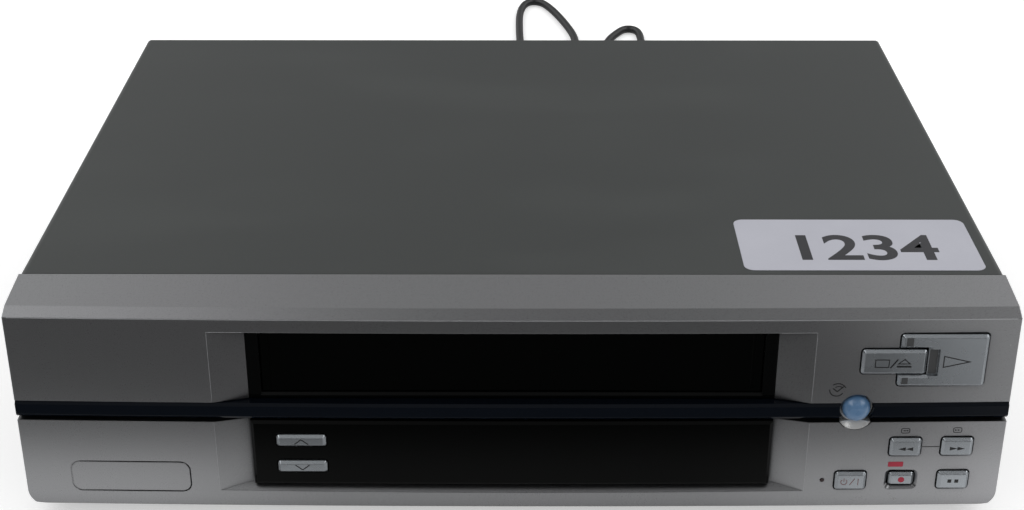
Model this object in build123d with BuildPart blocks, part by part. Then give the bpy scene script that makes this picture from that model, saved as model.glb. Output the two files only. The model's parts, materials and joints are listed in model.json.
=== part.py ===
from build123d import *
import os
from math import asin, atan2, cos, degrees, hypot, pi, radians, sin, sqrt, tan

# A front-loading video cassette recorder. Millimetres, X to the right seen from the front, Y to the
# rear, Z up. The origin is at the middle of the footprint, on the surface that the feet stand on.

# ---------------------------------------------------------------- case, driving dimensions
front_y = -145.0
rear_y = 141.5
sheet = 0.8
wall = 2.5
fit = 0.2
foot_height = 6.0
foot_radius = 9.0
foot_inset = 40.0
foot_front = 45.0
foot_rear = 33.5
side_margin = 11.4
roof_room = 12.8
floor_thickness = 2.0
frame_wall = 2.0
frame_wall_height = 26.0

# ---------------------------------------------------------------- bezel
bow = 2.2
bezel_depth = 27.0
bezel_bottom = 5.2
bezel_corner = 7.0
lip = 1.5
channel_width = 8.75
channel_depth = 5.0
strip_gap_low = 1.75
strip_gap_high = 0.3
strip_proud = 0.5
crest_drop = 3.96
crest_depth = 5.24
crest_fall = 1.74
recess_flare = 13.4
recess_margin = 5.4
recess_depth = 2.0
recess_over_cassette = 3.2
ledge_low = 12.8
ledge_high = 15.8
tongue = 6.0
groove_depth = 0.6
window_height = 29.4
window_rise = 0.35
window_bevel = 1.2
blank_inset = 41.5
blank_z = 19.5
blank_width = 47.0
blank_height = 14.1
blank_corner = 4.0
blank_line = 0.5

# ---------------------------------------------------------------- cassette and its way in
cassette_width = 187.0
cassette_thickness = 25.0
cassette_play = 0.9
cassette_sill = 2.6
cassette_seat = 5.2
travel_in = 70.0
holder_setback = 32.5
holder_length = 54.5
holder_sheet = 1.2
holder_rail = 24.0

# ---------------------------------------------------------------- door
door_margin = 0.8
door_thickness = 2.0
door_setback = 3.4
door_pivot_depth = 1.2
door_pivot_drop = 1.0
door_pin_radius = 1.0
pin_clearance = 0.05

# ---------------------------------------------------------------- buttons
button_width = 12.0
button_height = 8.1
button_gap = 0.5
button_proud = 1.6
button_bevel = 1.1
button_corner = 1.2
button_travel = 0.8
record_slope = 1.1
record_proud = 0.3
button_flange = 0.9
button_inset = 18.0
button_spacing = 20.0
button_low_z = 18.4
button_high_drop = 11.4
channel_button_inset = 19.6
channel_button_width = 19.0
channel_button_height = 5.2
channel_up_drop = 8.1
channel_down_rise = 9.4
stop_width = 24.4
stop_height = 10.6
stop_inset = 29.8
stop_drop = 0.5
play_width = 32.8
play_height = 22.4
play_inset = 48.2
play_rise = 0.78
play_step = 4.0
dome_inset = 17.7
dome_drop = 2.7
dome_radius = 5.4
dome_proud = 3.2
dish_radius = 7.0
dish_drop = 2.2
dish_depth = 7.0
collar_radius = 6.3
lamp_inset = 7.1
lamp_radius = 0.75

# ---------------------------------------------------------------- boards
board = 1.6
front_board_setback = 19.0
front_board_bottom = 9.0
front_board_low_drop = 2.2
front_board_high_drop = 6.0
front_board_margin = 4.4
switch_size = 6.0
switch_depth = 4.2
board_z = 12.0

# ---------------------------------------------------------------- deck
deck_top = 25.0
deck_sheet = 1.2
deck_margin = 7.6
deck_setback = 35.0
deck_rear_y = 82.0
bracket_sheet = 1.2
bracket_over_cassette = 5.8
bracket_setback = 33.0
bracket_rear_y = 20.0
slot_width = 4.6
guide_pin_radius = 2.0
front_pin_inset = 6.5
front_pin_rise = 3.8
rear_pin_inset = 46.5
rear_pin_rise = 17.8
shaft_y = -31.0
shaft_z = 20.0
shaft_radius = 1.5
slide_sheet = 1.0
rack_pinion_teeth = 16
drum_y = 47.0
drum_radius = 31.0
drum_tilt = 6.0
drum_gap = 0.3
reel_x = 46.25
reel_y = -54.0
reel_radius = 17.5
post_radius = 2.5
capstan_x = 56.0
capstan_y = 15.0
capstan_radius = 1.5
flywheel_radius = 22.0
capstan_pulley_radius = 6.0
pinch_x = 90.0
pinch_y = 40.0
pinch_arm = 34.0
pinch_rest_angle = 169.8
pinch_radius = 7.5
clutch_y = -40.0
clutch_pulley_radius = 14.0
clutch_hub_radius = 8.0
idler_radius = 16.0
idler_gap = 0.3
belt_thickness = 1.2
gear_module = 1.0
loading_teeth = 32
cam_teeth = 48
pinion_teeth = 10
gear_face = 3.0
gear_bottom = 17.5
crank_length = 11.0
tooth_above = 0.8 * gear_module
tooth_below = 1.15 * gear_module
tooth_tip_half = 0.4 * gear_module
tooth_root_half = 1.0 * gear_module
guide_start = (30.0, 2.0)
guide_end = (44.0, 58.0)
guide_half = 4.0

# ---------------------------------------------------------------- rear panel and what shows in it
panel = 2.0
panel_inset = 1.0
cord_x = 97.0
cord_z = 24.0
cord_width = 5.0
plug_neck = 16.0
plug_body = 14.0
plug_width = 26.0
plug_height = 13.6
pin_spacing = 18.6
pin_length = 19.0
tuner_inset = 37.0
tuner_width = 56.0
aerial_spacing = 26.0
aerial_z = 27.0
aerial_radius = 4.75
aerial_length = 9.0
euro_x = (-88.0, -32.0)
euro_width = 50.0
euro_height = 16.4
euro_proud = 1.5

# ---------------------------------------------------------------- worked out from the above
cassette_half = cassette_width / 2
holder_inner = cassette_half + cassette_play
holder_outer = holder_inner + holder_sheet
slide_inner = holder_outer + 0.3
bracket_inner = slide_inner + slide_sheet + 0.3
bracket_outer = bracket_inner + bracket_sheet
deck_half = bracket_outer + deck_margin
door_half = holder_inner + door_margin
recess_inner = door_half + recess_margin
recess_outer = recess_inner + recess_flare
button_columns = [recess_outer + button_inset + i * button_spacing for i in range(3)]
stop_x = recess_outer + stop_inset
play_x = recess_outer + play_inset
dome_x = recess_outer + dome_inset
lamp_x = recess_outer + lamp_inset
half_width = play_x + play_width / 2 + side_margin
width = 2 * half_width
blank_x = blank_inset - half_width
power_x = (deck_half + half_width) / 2
tuner_x = tuner_inset - half_width
aerial_x = (tuner_x - aerial_spacing / 2, tuner_x + aerial_spacing / 2)
channel_button_x = channel_button_inset - recess_inner

window_top = ledge_high + window_height
channel_bottom = window_top - window_rise
channel_top = channel_bottom + channel_width
strip_bottom = channel_bottom + strip_gap_low
strip_top = channel_top - strip_gap_high
cassette_bottom = channel_top + cassette_sill
cassette_top = cassette_bottom + cassette_thickness
travel_down = cassette_bottom - deck_top - cassette_seat
height = cassette_top + roof_room
crest_low = height - crest_drop
crest_high = height - crest_fall
recess_top = cassette_top + recess_over_cassette
door_bottom = cassette_bottom - fit
door_top = recess_top - fit
door_pivot_z = recess_top - door_pivot_drop
button_high_z = window_top - button_high_drop
channel_up_z = window_top - channel_up_drop
channel_down_z = ledge_high + channel_down_rise
play_z = (channel_top + crest_low) / 2 + play_rise
stop_z = play_z - stop_drop
dome_z = channel_top - dome_drop
dish_z = dome_z - dish_drop
record_width = button_width - 2 * record_slope
record_height = button_height - 2 * record_slope
bracket_top = cassette_top + bracket_over_cassette
front_pin_z = cassette_bottom + front_pin_rise
rear_pin_z = cassette_bottom + rear_pin_rise

recess_floor_y = front_y + recess_depth
door_front_y = front_y + door_setback
front_board_y = front_y + front_board_setback
deck_front_y = front_y + deck_setback
bracket_front_y = front_y + bracket_setback
holder_front_y = front_y + holder_setback
front_pin_y = holder_front_y + front_pin_inset
rear_pin_y = holder_front_y + rear_pin_inset

bow_radius = (half_width**2 + bow**2) / (2 * bow)
bow_centre_y = front_y - bow + bow_radius
bow_half_angle = degrees(asin(half_width / bow_radius)) * 1.05
bow_axis = Axis((0, bow_centre_y, 0), (0, 0, 1))
bow_start = radians(bow_half_angle)
bow_plane = Plane(
    origin=(0, bow_centre_y, 0),
    x_dir=(-sin(bow_start), -cos(bow_start), 0),
    z_dir=(-cos(bow_start), sin(bow_start), 0),
)
bezel_rear_y = front_y + bezel_depth
floor_top = foot_height + floor_thickness
panel_front_y = rear_y - panel_inset - panel
cover_inner = half_width - sheet
frame_half = cover_inner - fit
holder_rear_y = holder_front_y + holder_length
holder_floor = cassette_bottom - fit - holder_sheet
holder_roof = cassette_top + fit
deck_bottom = deck_top - deck_sheet
door_pivot_y = door_front_y + door_pivot_depth
rack_radius = gear_module * rack_pinion_teeth / 2
rack_root_z = shaft_z + rack_radius + tooth_below
rack_pitch = pi * gear_module
rack_rear_y = shaft_y + 2 * rack_pitch
rack_teeth = int((rack_rear_y - holder_front_y) / rack_pitch)
loading_radius = gear_module * loading_teeth / 2
cam_radius = gear_module * cam_teeth / 2
pinion_radius = gear_module * pinion_teeth / 2
cam_x = -loading_radius * 2 - cam_radius
pinion_x = cam_x - 10.0
pinion_y = sqrt((cam_radius + pinion_radius) ** 2 - 10.0**2)

os.makedirs("parts", exist_ok=True)


def write(name, *builders):
    """Write a finished piece as its own STEP file. Several builders give one group of touching solids."""
    piece = builders[0].part
    if len(builders) > 1:
        piece = Compound([solid for builder in builders for solid in builder.part.solids()])
    piece.label = name
    export_step(piece, f"parts/{name}.step")


def face_y(x):
    """The bowed front's Y at a distance x from the middle."""
    return bow_centre_y - sqrt(bow_radius**2 - x**2)


def bowed(points):
    """A solid of one (depth, height) section carried along the bowed front."""
    with BuildPart() as solid:
        with BuildSketch(bow_plane):
            with BuildLine():
                Polyline(*[(bow_radius - depth, z) for depth, z in points], close=True)
            make_face()
        revolve(axis=bow_axis, revolution_arc=2 * bow_half_angle)
    return solid.part


def block(x0, x1, y0, y1, z0, z1, mode=Mode.ADD):
    """A box between two corners."""
    with Locations(((x0 + x1) / 2, (y0 + y1) / 2, (z0 + z1) / 2)):
        Box(x1 - x0, y1 - y0, z1 - z0, mode=mode)


def column(x, y, z0, z1, radius, mode=Mode.ADD):
    """An upright cylinder."""
    with Locations((x, y, (z0 + z1) / 2)):
        Cylinder(radius, z1 - z0, mode=mode)


def front_plane(y):
    """A sketch plane that faces the front: local x to the right, local y up."""
    return Plane(origin=(0, y, 0), x_dir=(1, 0, 0), z_dir=(0, -1, 0))


def side_plane(x):
    """A sketch plane that faces right: local x to the rear, local y up."""
    return Plane(origin=(x, 0, 0), x_dir=(0, 1, 0), z_dir=(1, 0, 0))


def toothed(x, y, teeth, phase):
    """A flat gear outline centred at (x, y), with a tooth at the phase angle in degrees."""
    pitch_radius = gear_module * teeth / 2
    with BuildSketch() as outline:
        with Locations((x, y)):
            Circle(pitch_radius - tooth_below)
            with PolarLocations(0, teeth, phase):
                Polygon(
                    (pitch_radius - tooth_below - 0.3, -tooth_root_half),
                    (pitch_radius + tooth_above, -tooth_tip_half),
                    (pitch_radius + tooth_above, tooth_tip_half),
                    (pitch_radius - tooth_below - 0.3, tooth_root_half),
                    align=None,
                )
    return outline.sketch


# ================================================================ case
with BuildPart() as top_cover:
    with BuildSketch(front_plane(bezel_rear_y + fit)):
        with Locations((0, (height + floor_top) / 2 - 2)):
            Rectangle(width, height - floor_top + 4)
        fillet(vertices().group_by(Axis.Y)[-1], 2.5)
        with Locations((0, (height - sheet) / 2 - 2)):
            Rectangle(2 * cover_inner, height - sheet + 4, mode=Mode.SUBTRACT)
    extrude(amount=-(rear_y - bezel_rear_y - fit))
    block(-half_width, half_width, -200, 200, -10, floor_top + 1, mode=Mode.SUBTRACT)
    block(-cover_inner, cover_inner, rear_y - sheet, rear_y, height - 9, height - sheet)
    with BuildSketch(side_plane(-half_width - 1)):
        with Locations((78, 40)):
            with GridLocations(7, 0, 11, 1):
                SlotOverall(26, 2.6, rotation=90)
    extrude(amount=width + 2, mode=Mode.SUBTRACT)
write("top_cover", top_cover)

foot_x = half_width - foot_inset
foot_places = [(x, y) for x in (-foot_x, foot_x) for y in (front_y + foot_front, rear_y - foot_rear)]
post_outer_x = half_width - 14
post_inner_x = deck_half + 10
post_front_y = deck_front_y + 20
post_rear_y = panel_front_y - 8.5
board_posts = [
    (-post_outer_x, post_rear_y),
    (-100, deck_rear_y + 14),
    (40, deck_rear_y + 14),
    (-post_outer_x, post_front_y),
    (-post_inner_x, post_front_y),
    (post_outer_x, post_rear_y),
    (post_inner_x, post_rear_y),
    (post_outer_x, -30),
    (post_inner_x, -30),
]
deck_corners = [
    (x, y)
    for x in (16 - deck_half, deck_half - 16)
    for y in (deck_front_y + 7, deck_rear_y - 7)
]
with BuildPart() as base_frame:
    block(-frame_half, frame_half, bezel_rear_y + fit, panel_front_y, foot_height, floor_top)
    for side in (-1, 1):
        block(*sorted((side * frame_half, side * (frame_half - frame_wall))),
              bezel_rear_y + fit, panel_front_y, floor_top, floor_top + frame_wall_height)
    with BuildSketch(Plane.XY.offset(foot_height)):
        with Locations((-60, 20), (60, 20)):
            with GridLocations(8, 0, 9, 1):
                SlotOverall(44, 3, rotation=90)
    extrude(amount=floor_thickness, mode=Mode.SUBTRACT)
    for side in (-1, 1):
        block(*sorted((side * deck_half, side * (deck_half - 1.5))), deck_front_y, deck_rear_y - 4,
              floor_top, floor_top + 12)
write("base_frame", base_frame)

with BuildPart() as standoffs:
    for x, y in board_posts:
        column(x, y, floor_top, board_z, 3.0)
    for x, y in deck_corners:
        column(x, y, floor_top, deck_bottom, 4.5)
write("standoffs", standoffs)

with BuildPart() as feet:
    with Locations(*[(x, y, foot_height / 2) for x, y in foot_places]):
        Cylinder(foot_radius, foot_height)
    chamfer(feet.edges().group_by(Axis.Z)[0], 1.0)
write("feet", feet)

with BuildPart() as rear_panel:
    block(-frame_half, frame_half, panel_front_y, panel_front_y + panel, floor_top, height - sheet - fit)
    with BuildSketch(front_plane(panel_front_y)):
        with Locations((cord_x, cord_z)):
            RectangleRounded(9.4, 7.4, 2.0)
        with Locations(*[(x, aerial_z) for x in aerial_x]):
            Circle(aerial_radius + 1.5)
        with Locations(*[(x, board_z + board + euro_height / 2) for x in euro_x]):
            Rectangle(euro_width + 0.6, euro_height + 0.6)
        with Locations((power_x - 23, 62)):
            with GridLocations(7, 0, 12, 1):
                SlotOverall(30, 3, rotation=90)
    extrude(amount=-panel, mode=Mode.SUBTRACT)
write("rear_panel", rear_panel)

side_screws = [
    (side * half_width, y, height - 44, side)
    for side in (-1, 1)
    for y in (front_y + 85, rear_y - 21.5)
]
with BuildPart() as case_screws:
    for x, y, z, side in side_screws:
        with Locations(Location((x + side * 0.9, y, z), (0, 90, 0))):
            Cylinder(3.6, 1.8)
    for x in (-foot_x, 0.0, foot_x):
        with Locations(Location((x, rear_y + 0.9, height - 5.0), (90, 0, 0))):
            Cylinder(3.6, 1.8)
write("case_screws", case_screws)

# ================================================================ front
with BuildPart() as bezel_cavity:
    add(bowed([
        (60, bezel_bottom + wall),
        (wall, bezel_bottom + wall),
        (wall, channel_bottom - wall),
        (channel_depth + wall, channel_bottom - wall),
        (channel_depth + wall, channel_top + wall),
        (wall, channel_top + wall),
        (wall, crest_low - wall / 2),
        (crest_depth + wall / 5, crest_high - wall),
        (bezel_depth, height - wall),
        (60, height - wall),
    ]))
    block(wall - half_width, half_width - wall, -200, 0, 0, height, mode=Mode.INTERSECT)
    fillet(bezel_cavity.edges().filter_by(Axis.Y, tolerance=3).group_by(Axis.Z)[0], bezel_corner - wall)

with BuildPart() as upper_recess:
    with BuildSketch(Plane.XY.offset(channel_top - 1)):
        with BuildLine():
            Polyline(
                (-recess_outer - 8, face_y(recess_outer) - 2.04),
                (-recess_inner, recess_floor_y),
                (recess_inner, recess_floor_y),
                (recess_outer + 8, face_y(recess_outer) - 2.04),
                close=True,
            )
        make_face()
    extrude(amount=recess_top - channel_top + 1)

with BuildPart() as lower_recess:
    with BuildSketch(Plane.XY):
        with BuildLine():
            Polyline(
                (-recess_outer - 8, face_y(recess_outer) - 2.04),
                (-recess_inner, recess_floor_y),
                (recess_inner, recess_floor_y),
                (recess_outer + 8, face_y(recess_outer) - 2.04),
                close=True,
            )
        make_face()
    extrude(amount=channel_bottom + 1)
    with BuildSketch(side_plane(-recess_outer - 10)):
        with BuildLine():
            Polyline(
                (face_y(0) - 2, ledge_low - 1.43),
                (recess_floor_y, ledge_high),
                (recess_floor_y, channel_bottom + 1),
                (face_y(0) - 2, channel_bottom + 1),
                close=True,
            )
        make_face()
    extrude(amount=2 * recess_outer + 20, mode=Mode.INTERSECT)


def button_hole(x, z, hole_width, hole_height):
    """A rounded hole through the bezel or the window for one button."""
    with BuildSketch(front_plane(front_y - 10)) as hole:
        with Locations((x, z)):
            RectangleRounded(hole_width + 2 * button_gap, hole_height + 2 * button_gap,
                             button_corner + button_gap)
    extrude(hole.sketch, amount=-25, mode=Mode.SUBTRACT)


def dish_outline(growth=0.0):
    """Sketch the round button's surround: a crescent below the channel and a close collar."""
    with Locations((dome_x, dish_z)):
        Circle(dish_radius + growth)
    with Locations((dome_x, channel_bottom + dish_radius)):
        Rectangle(3 * dish_radius, 2 * dish_radius, mode=Mode.SUBTRACT)
    with Locations((dome_x, dome_z)):
        Circle(collar_radius + growth)


def dish_hole(clearance):
    """The opening for the round button's surround."""
    with BuildSketch(front_plane(front_y - 10)) as hole:
        dish_outline(clearance)
    extrude(hole.sketch, amount=-25, mode=Mode.SUBTRACT)


def button_slope(x, z, floor_width, floor_height):
    """A sloped surround round a sunk button, from the bowed face down to its hole."""
    outlines = []
    for depth in (-0.5, record_slope):
        growth = 2 * (record_slope - depth)
        with BuildSketch(front_plane(face_y(x) + depth)) as outline:
            with Locations((x, z)):
                RectangleRounded(floor_width + 2 * button_gap + growth,
                                 floor_height + 2 * button_gap + growth,
                                 button_corner + button_gap + growth / 4)
        outlines.append(outline.sketch)
    loft(outlines, mode=Mode.SUBTRACT)


with BuildPart() as front_bezel:
    add(bowed([
        (60, bezel_bottom),
        (lip, bezel_bottom),
        (0, bezel_bottom + lip),
        (0, channel_bottom),
        (channel_depth, channel_bottom),
        (channel_depth, channel_top),
        (0, channel_top),
        (0, crest_low),
        (crest_depth, crest_high),
        (bezel_depth, height),
        (60, height),
    ]))
    block(-half_width, half_width, -200, bezel_rear_y, 0, height + 1, mode=Mode.INTERSECT)
    fillet(front_bezel.edges().filter_by(Axis.Y, tolerance=3).group_by(Axis.Z)[0], bezel_corner)
    add(bezel_cavity.part, mode=Mode.SUBTRACT)
    for z0, z1 in ((bezel_bottom + wall, channel_bottom - wall), (channel_top + wall, crest_low - wall)):
        block(-recess_outer - wall, recess_outer + wall, face_y(recess_outer) + 1, recess_floor_y + wall,
              z0 - 0.1, z1 + 0.1)
    add(upper_recess.part, mode=Mode.SUBTRACT)
    add(lower_recess.part, mode=Mode.SUBTRACT)
    block(-recess_inner, recess_inner, -160, bezel_rear_y, channel_top, recess_top, mode=Mode.SUBTRACT)
    block(4 - recess_inner, recess_inner - 4, -160, bezel_rear_y, ledge_high + 4, channel_bottom - wall,
          mode=Mode.SUBTRACT)
    block(-cover_inner + 4, cover_inner - 4, bezel_rear_y - wall, bezel_rear_y + tongue,
          height - sheet - fit - wall, height - sheet - fit)
    for x in (button_columns[0], button_columns[2]):
        button_hole(x, button_low_z, button_width, button_height)
    button_hole(button_columns[1], button_low_z, record_width, record_height)
    button_slope(button_columns[1], button_low_z, record_width, record_height)
    for x in button_columns[1:]:
        button_hole(x, button_high_z, button_width, button_height)
    button_hole(play_x, play_z, play_width, play_height)
    button_hole(stop_x, stop_z, stop_width, stop_height)
    with BuildSketch(front_plane(-160)):
        with Locations((lamp_x, button_low_z)):
            Circle(lamp_radius + pin_clearance)
    extrude(amount=-35, mode=Mode.SUBTRACT)
    dish_hole(fit)
    with BuildSketch(front_plane(-160)):
        with Locations((blank_x, blank_z)):
            RectangleRounded(blank_width, blank_height, blank_corner)
            RectangleRounded(blank_width - 2 * blank_line, blank_height - 2 * blank_line,
                             blank_corner - blank_line, mode=Mode.SUBTRACT)
    extrude(amount=-(160 + face_y(blank_x) + groove_depth), mode=Mode.SUBTRACT)
    for x, z in ((recess_outer + 4, 30.0), (half_width - 7, 50.0), (recess_outer, height - 8)):
        with BuildSketch(front_plane(front_board_y)):
            with Locations((x, z)):
                Circle(2.5)
        extrude(until=Until.NEXT)
write("front_bezel", front_bezel)

with BuildPart() as trim_strip:
    add(bowed([
        (channel_depth, strip_bottom),
        (0.4, strip_bottom),
        (-strip_proud, strip_bottom + 1.2),
        (-strip_proud, strip_top - 1.2),
        (0.4, strip_top),
        (channel_depth, strip_top),
    ]))
    block(-half_width, half_width, -200, 0, 0, height, mode=Mode.INTERSECT)
    dish_hole(fit)
write("trim_strip", trim_strip)

with BuildPart() as button_dish:
    with BuildSketch(front_plane(face_y(dome_x))):
        dish_outline()
        with Locations((dome_x, dome_z)):
            Circle(dome_radius + pin_clearance * 4, mode=Mode.SUBTRACT)
    extrude(amount=-dish_depth)
    with Locations(Location((dome_x, face_y(dome_x) + 1.2, dome_z), (90, 0, 0))):
        Cone(dome_radius, dish_drop + dish_radius + 0.3, 3.0, mode=Mode.SUBTRACT)
write("button_dish", button_dish)

with BuildPart() as display_window:
    add(bowed([
        (20, ledge_high + fit),
        (window_bevel, ledge_high + fit),
        (0, ledge_high + fit + window_bevel),
        (0, window_top - window_bevel),
        (window_bevel, window_top),
        (20, window_top),
    ]))
    block(fit - recess_inner, recess_inner - fit, -200, recess_floor_y, 0, height, mode=Mode.INTERSECT)
    chamfer(display_window.edges().filter_by(Axis.Z).sort_by(Axis.Y)[:2], window_bevel)
    button_hole(channel_button_x, channel_up_z, channel_button_width, channel_button_height)
    button_hole(channel_button_x, channel_down_z, channel_button_width, channel_button_height)
write("display_window", display_window)

door_opening = door_half + 2 * fit
with BuildPart() as door_frame:
    block(fit - recess_inner, recess_inner - fit, recess_floor_y, front_board_y - 2,
          channel_top + fit, recess_top - fit)
    block(-door_opening, door_opening, -160, 0, door_bottom - fit, height, mode=Mode.SUBTRACT)
    with Locations(Location((0, door_pivot_y, door_pivot_z), (0, 90, 0))):
        Cylinder(door_pin_radius + pin_clearance, 2 * (door_half + 3), mode=Mode.SUBTRACT)
    with BuildSketch(side_plane(-door_opening - 0.2)):
        with BuildLine():
            Polyline(
                (recess_floor_y, channel_top + fit + 1.0),
                (recess_floor_y, door_bottom),
                (recess_floor_y + 1.2, door_bottom),
                close=True,
            )
        make_face()
    extrude(amount=2 * door_opening + 0.4, mode=Mode.SUBTRACT)
write("door_frame", door_frame)

with BuildPart() as cassette_door:
    block(-door_half, door_half, door_front_y, door_front_y + door_thickness, door_bottom, door_top)
    chamfer(cassette_door.edges().filter_by(Axis.X).sort_by(Axis.Z)[-2:], 0.5)
    for x in (3.5 - door_half, door_half - 3.5):
        block(x - 0.4, x + 0.4, door_front_y - 1, door_front_y + 0.4, door_bottom + 1, door_top - 3.2,
              mode=Mode.SUBTRACT)
    with Locations(Location((0, door_pivot_y, door_pivot_z), (0, 90, 0))):
        Cylinder(door_pin_radius, 2 * (door_half + 2.5))
write("cassette_door", cassette_door)

switch_front = front_board_y - switch_depth
stem_end = switch_front - button_travel - 0.1


def push_button(name, x, z, cap_width, cap_height, skin, flange=(1, 1, 1, 1), proud=button_proud):
    """A moulded button: bevelled cap, retaining flange behind the skin it comes through, and stem."""
    front = face_y(x) - proud
    left, right, down, up = [button_gap + button_flange * side if side else 0 for side in flange]
    flange_front = skin + 0.1
    with BuildPart() as button:
        with BuildSketch(front_plane(front)) as cap:
            with Locations((x, z)):
                RectangleRounded(cap_width, cap_height, button_corner)
            if name == "play_button":
                with Locations((x - cap_width / 2, stop_z)):
                    Rectangle(2 * (stop_x + stop_width / 2 + button_gap - x + cap_width / 2),
                              stop_height + 2 * button_gap, mode=Mode.SUBTRACT)
        extrude(cap.sketch, amount=-(flange_front - front + 1.4))
        chamfer(button.faces().sort_by(Axis.Y)[0].edges(), button_bevel)
        if name == "play_button":
            step_left = stop_x + stop_width / 2 + button_gap
            block(step_left - 1, step_left + play_step, front - 1, front + button_bevel,
                  stop_z - stop_height / 2 - button_gap, stop_z + stop_height / 2 + button_gap,
                  mode=Mode.SUBTRACT)
        block(x - cap_width / 2 - left, x + cap_width / 2 + right, flange_front, flange_front + 1.4,
              z - cap_height / 2 - down, z + cap_height / 2 + up)
        if name == "play_button":
            block(x - cap_width, stop_x + stop_width / 2 + button_gap, front, 0,
                  stop_z - stop_height / 2 - button_gap, stop_z + stop_height / 2 + button_gap,
                  mode=Mode.SUBTRACT)
        stem_x = x if name != "play_button" else x + play_step
        block(stem_x - 2, stem_x + 2, flange_front + 1.4, stem_end, z - 2, z + 2)
    write(name, button)
    return stem_x, z


bezel_skin = face_y(button_columns[-1] + button_width) + wall
window_skin = recess_floor_y
switches = [
    push_button("power_button", button_columns[0], button_low_z, button_width, button_height, bezel_skin),
    push_button("record_button", button_columns[1], button_low_z, record_width, record_height, bezel_skin,
                proud=record_proud),
    push_button("pause_button", button_columns[2], button_low_z, button_width, button_height, bezel_skin),
    push_button("rewind_button", button_columns[1], button_high_z, button_width, button_height, bezel_skin),
    push_button("fast_forward_button", button_columns[2], button_high_z, button_width, button_height,
                bezel_skin),
    push_button("stop_eject_button", stop_x, stop_z, stop_width, stop_height, bezel_skin, (1, 0, 0, 0)),
    push_button("play_button", play_x, play_z, play_width, play_height, bezel_skin, (0, 1, 0, 0)),
    push_button("channel_up_button", channel_button_x, channel_up_z, channel_button_width,
                channel_button_height, window_skin),
    push_button("channel_down_button", channel_button_x, channel_down_z, channel_button_width,
                channel_button_height, window_skin),
]

dome_front = face_y(dome_x) - dome_proud
dome_flange = face_y(dome_x) + dish_depth + 0.1
with BuildPart() as timer_button:
    with BuildSketch(Plane(origin=(dome_x, 0, dome_z), x_dir=(1, 0, 0), z_dir=(0, 0, 1))):
        with BuildLine():
            Line((0, dome_flange + 1.2), (0, dome_front))
            ThreePointArc((0, dome_front), (dome_radius * 0.72, dome_front + 1.3),
                          (dome_radius, dome_front + dome_radius * 0.78))
            Polyline(
                (dome_radius, dome_front + dome_radius * 0.78),
                (dome_radius, dome_flange),
                (collar_radius, dome_flange),
                (collar_radius, dome_flange + 1.2),
                (0, dome_flange + 1.2),
            )
        make_face()
    revolve(axis=Axis((dome_x, 0, dome_z), (0, 1, 0)))
    block(dome_x - 2, dome_x + 2, dome_flange + 1.2, stem_end, dome_z - 2, dome_z + 2)
write("timer_button", timer_button)
switches.append((dome_x, dome_z))

# ================================================================ front board
with BuildPart() as front_board:
    front_board_step = recess_inner + front_board_margin + 1
    block(-recess_inner - front_board_margin, front_board_step, front_board_y, front_board_y + board,
          front_board_bottom, window_top - front_board_low_drop)
    block(front_board_step, half_width - 4, front_board_y, front_board_y + board, front_board_bottom,
          height - front_board_high_drop)
    for x, z in switches:
        block(x - switch_size / 2, x + switch_size / 2, front_board_y - switch_depth + 0.8, front_board_y,
              z - switch_size / 2, z + switch_size / 2)
        with Locations(Location((x, front_board_y - switch_depth + 0.4, z), (90, 0, 0))):
            Cylinder(1.7, 0.8)
write("front_board", front_board)

with BuildPart() as display_tube:
    block(-45, 65, front_board_y - 10, front_board_y, ledge_high + 4.2, window_top - 4.2)
    chamfer(display_tube.faces().sort_by(Axis.Y)[0].edges(), 1.0)
write("display_tube", display_tube)

with BuildPart() as standby_lamp:
    with BuildSketch(front_plane(face_y(lamp_x) - 0.2)):
        with Locations((lamp_x, button_low_z)):
            Circle(lamp_radius)
    extrude(amount=-5)
    with BuildSketch(front_plane(face_y(lamp_x) + 4.8)):
        with Locations((lamp_x, button_low_z)):
            Circle(1.5)
    extrude(amount=-(front_board_y - face_y(lamp_x) - 4.8))
write("standby_lamp", standby_lamp)

# ================================================================ boards in the case
board_top = board_z + board
board_half = frame_half - frame_wall - 2
board_inner = deck_half + 2
with BuildPart() as main_board:
    block(-board_half, board_half, deck_rear_y + 2, panel_front_y - 2, board_z, board_top)
    block(-board_half, -board_inner, deck_front_y, deck_rear_y + 2, board_z, board_top)
    block(board_inner, board_half, -40, deck_rear_y + 2, board_z, board_top)
    for x, y in ((2 - power_x, -26), (-50, deck_rear_y + 23)):
        block(x - 12, x + 12, y - 8, y + 8, board_top, board_top + 2.5)
write("main_board", main_board)

with BuildPart() as power_transformer:
    block(power_x - 18, power_x + 18, 45, 77, board_top, board_top + 26)
    block(power_x - 22, power_x + 22, 51, 71, board_top + 6, board_top + 20)
write("power_transformer", power_transformer)

with BuildPart() as power_parts:
    for x, y, radius, tall in ((0, 16, 11.0, 30.0), (-22, 18, 5.0, 16.0), (24, 14, 5.0, 16.0)):
        column(power_x + x, y, board_top, board_top + tall, radius)
    heat_sink_y = deck_rear_y + 20
    block(power_x - 24, power_x + 20, heat_sink_y - 2, heat_sink_y, board_top, board_top + 34)
    for fin in range(6):
        x = power_x - 24 + 8 * fin
        block(x, x + 1.5, heat_sink_y, heat_sink_y + 12, board_top, board_top + 34)
write("power_parts", power_parts)

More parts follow.
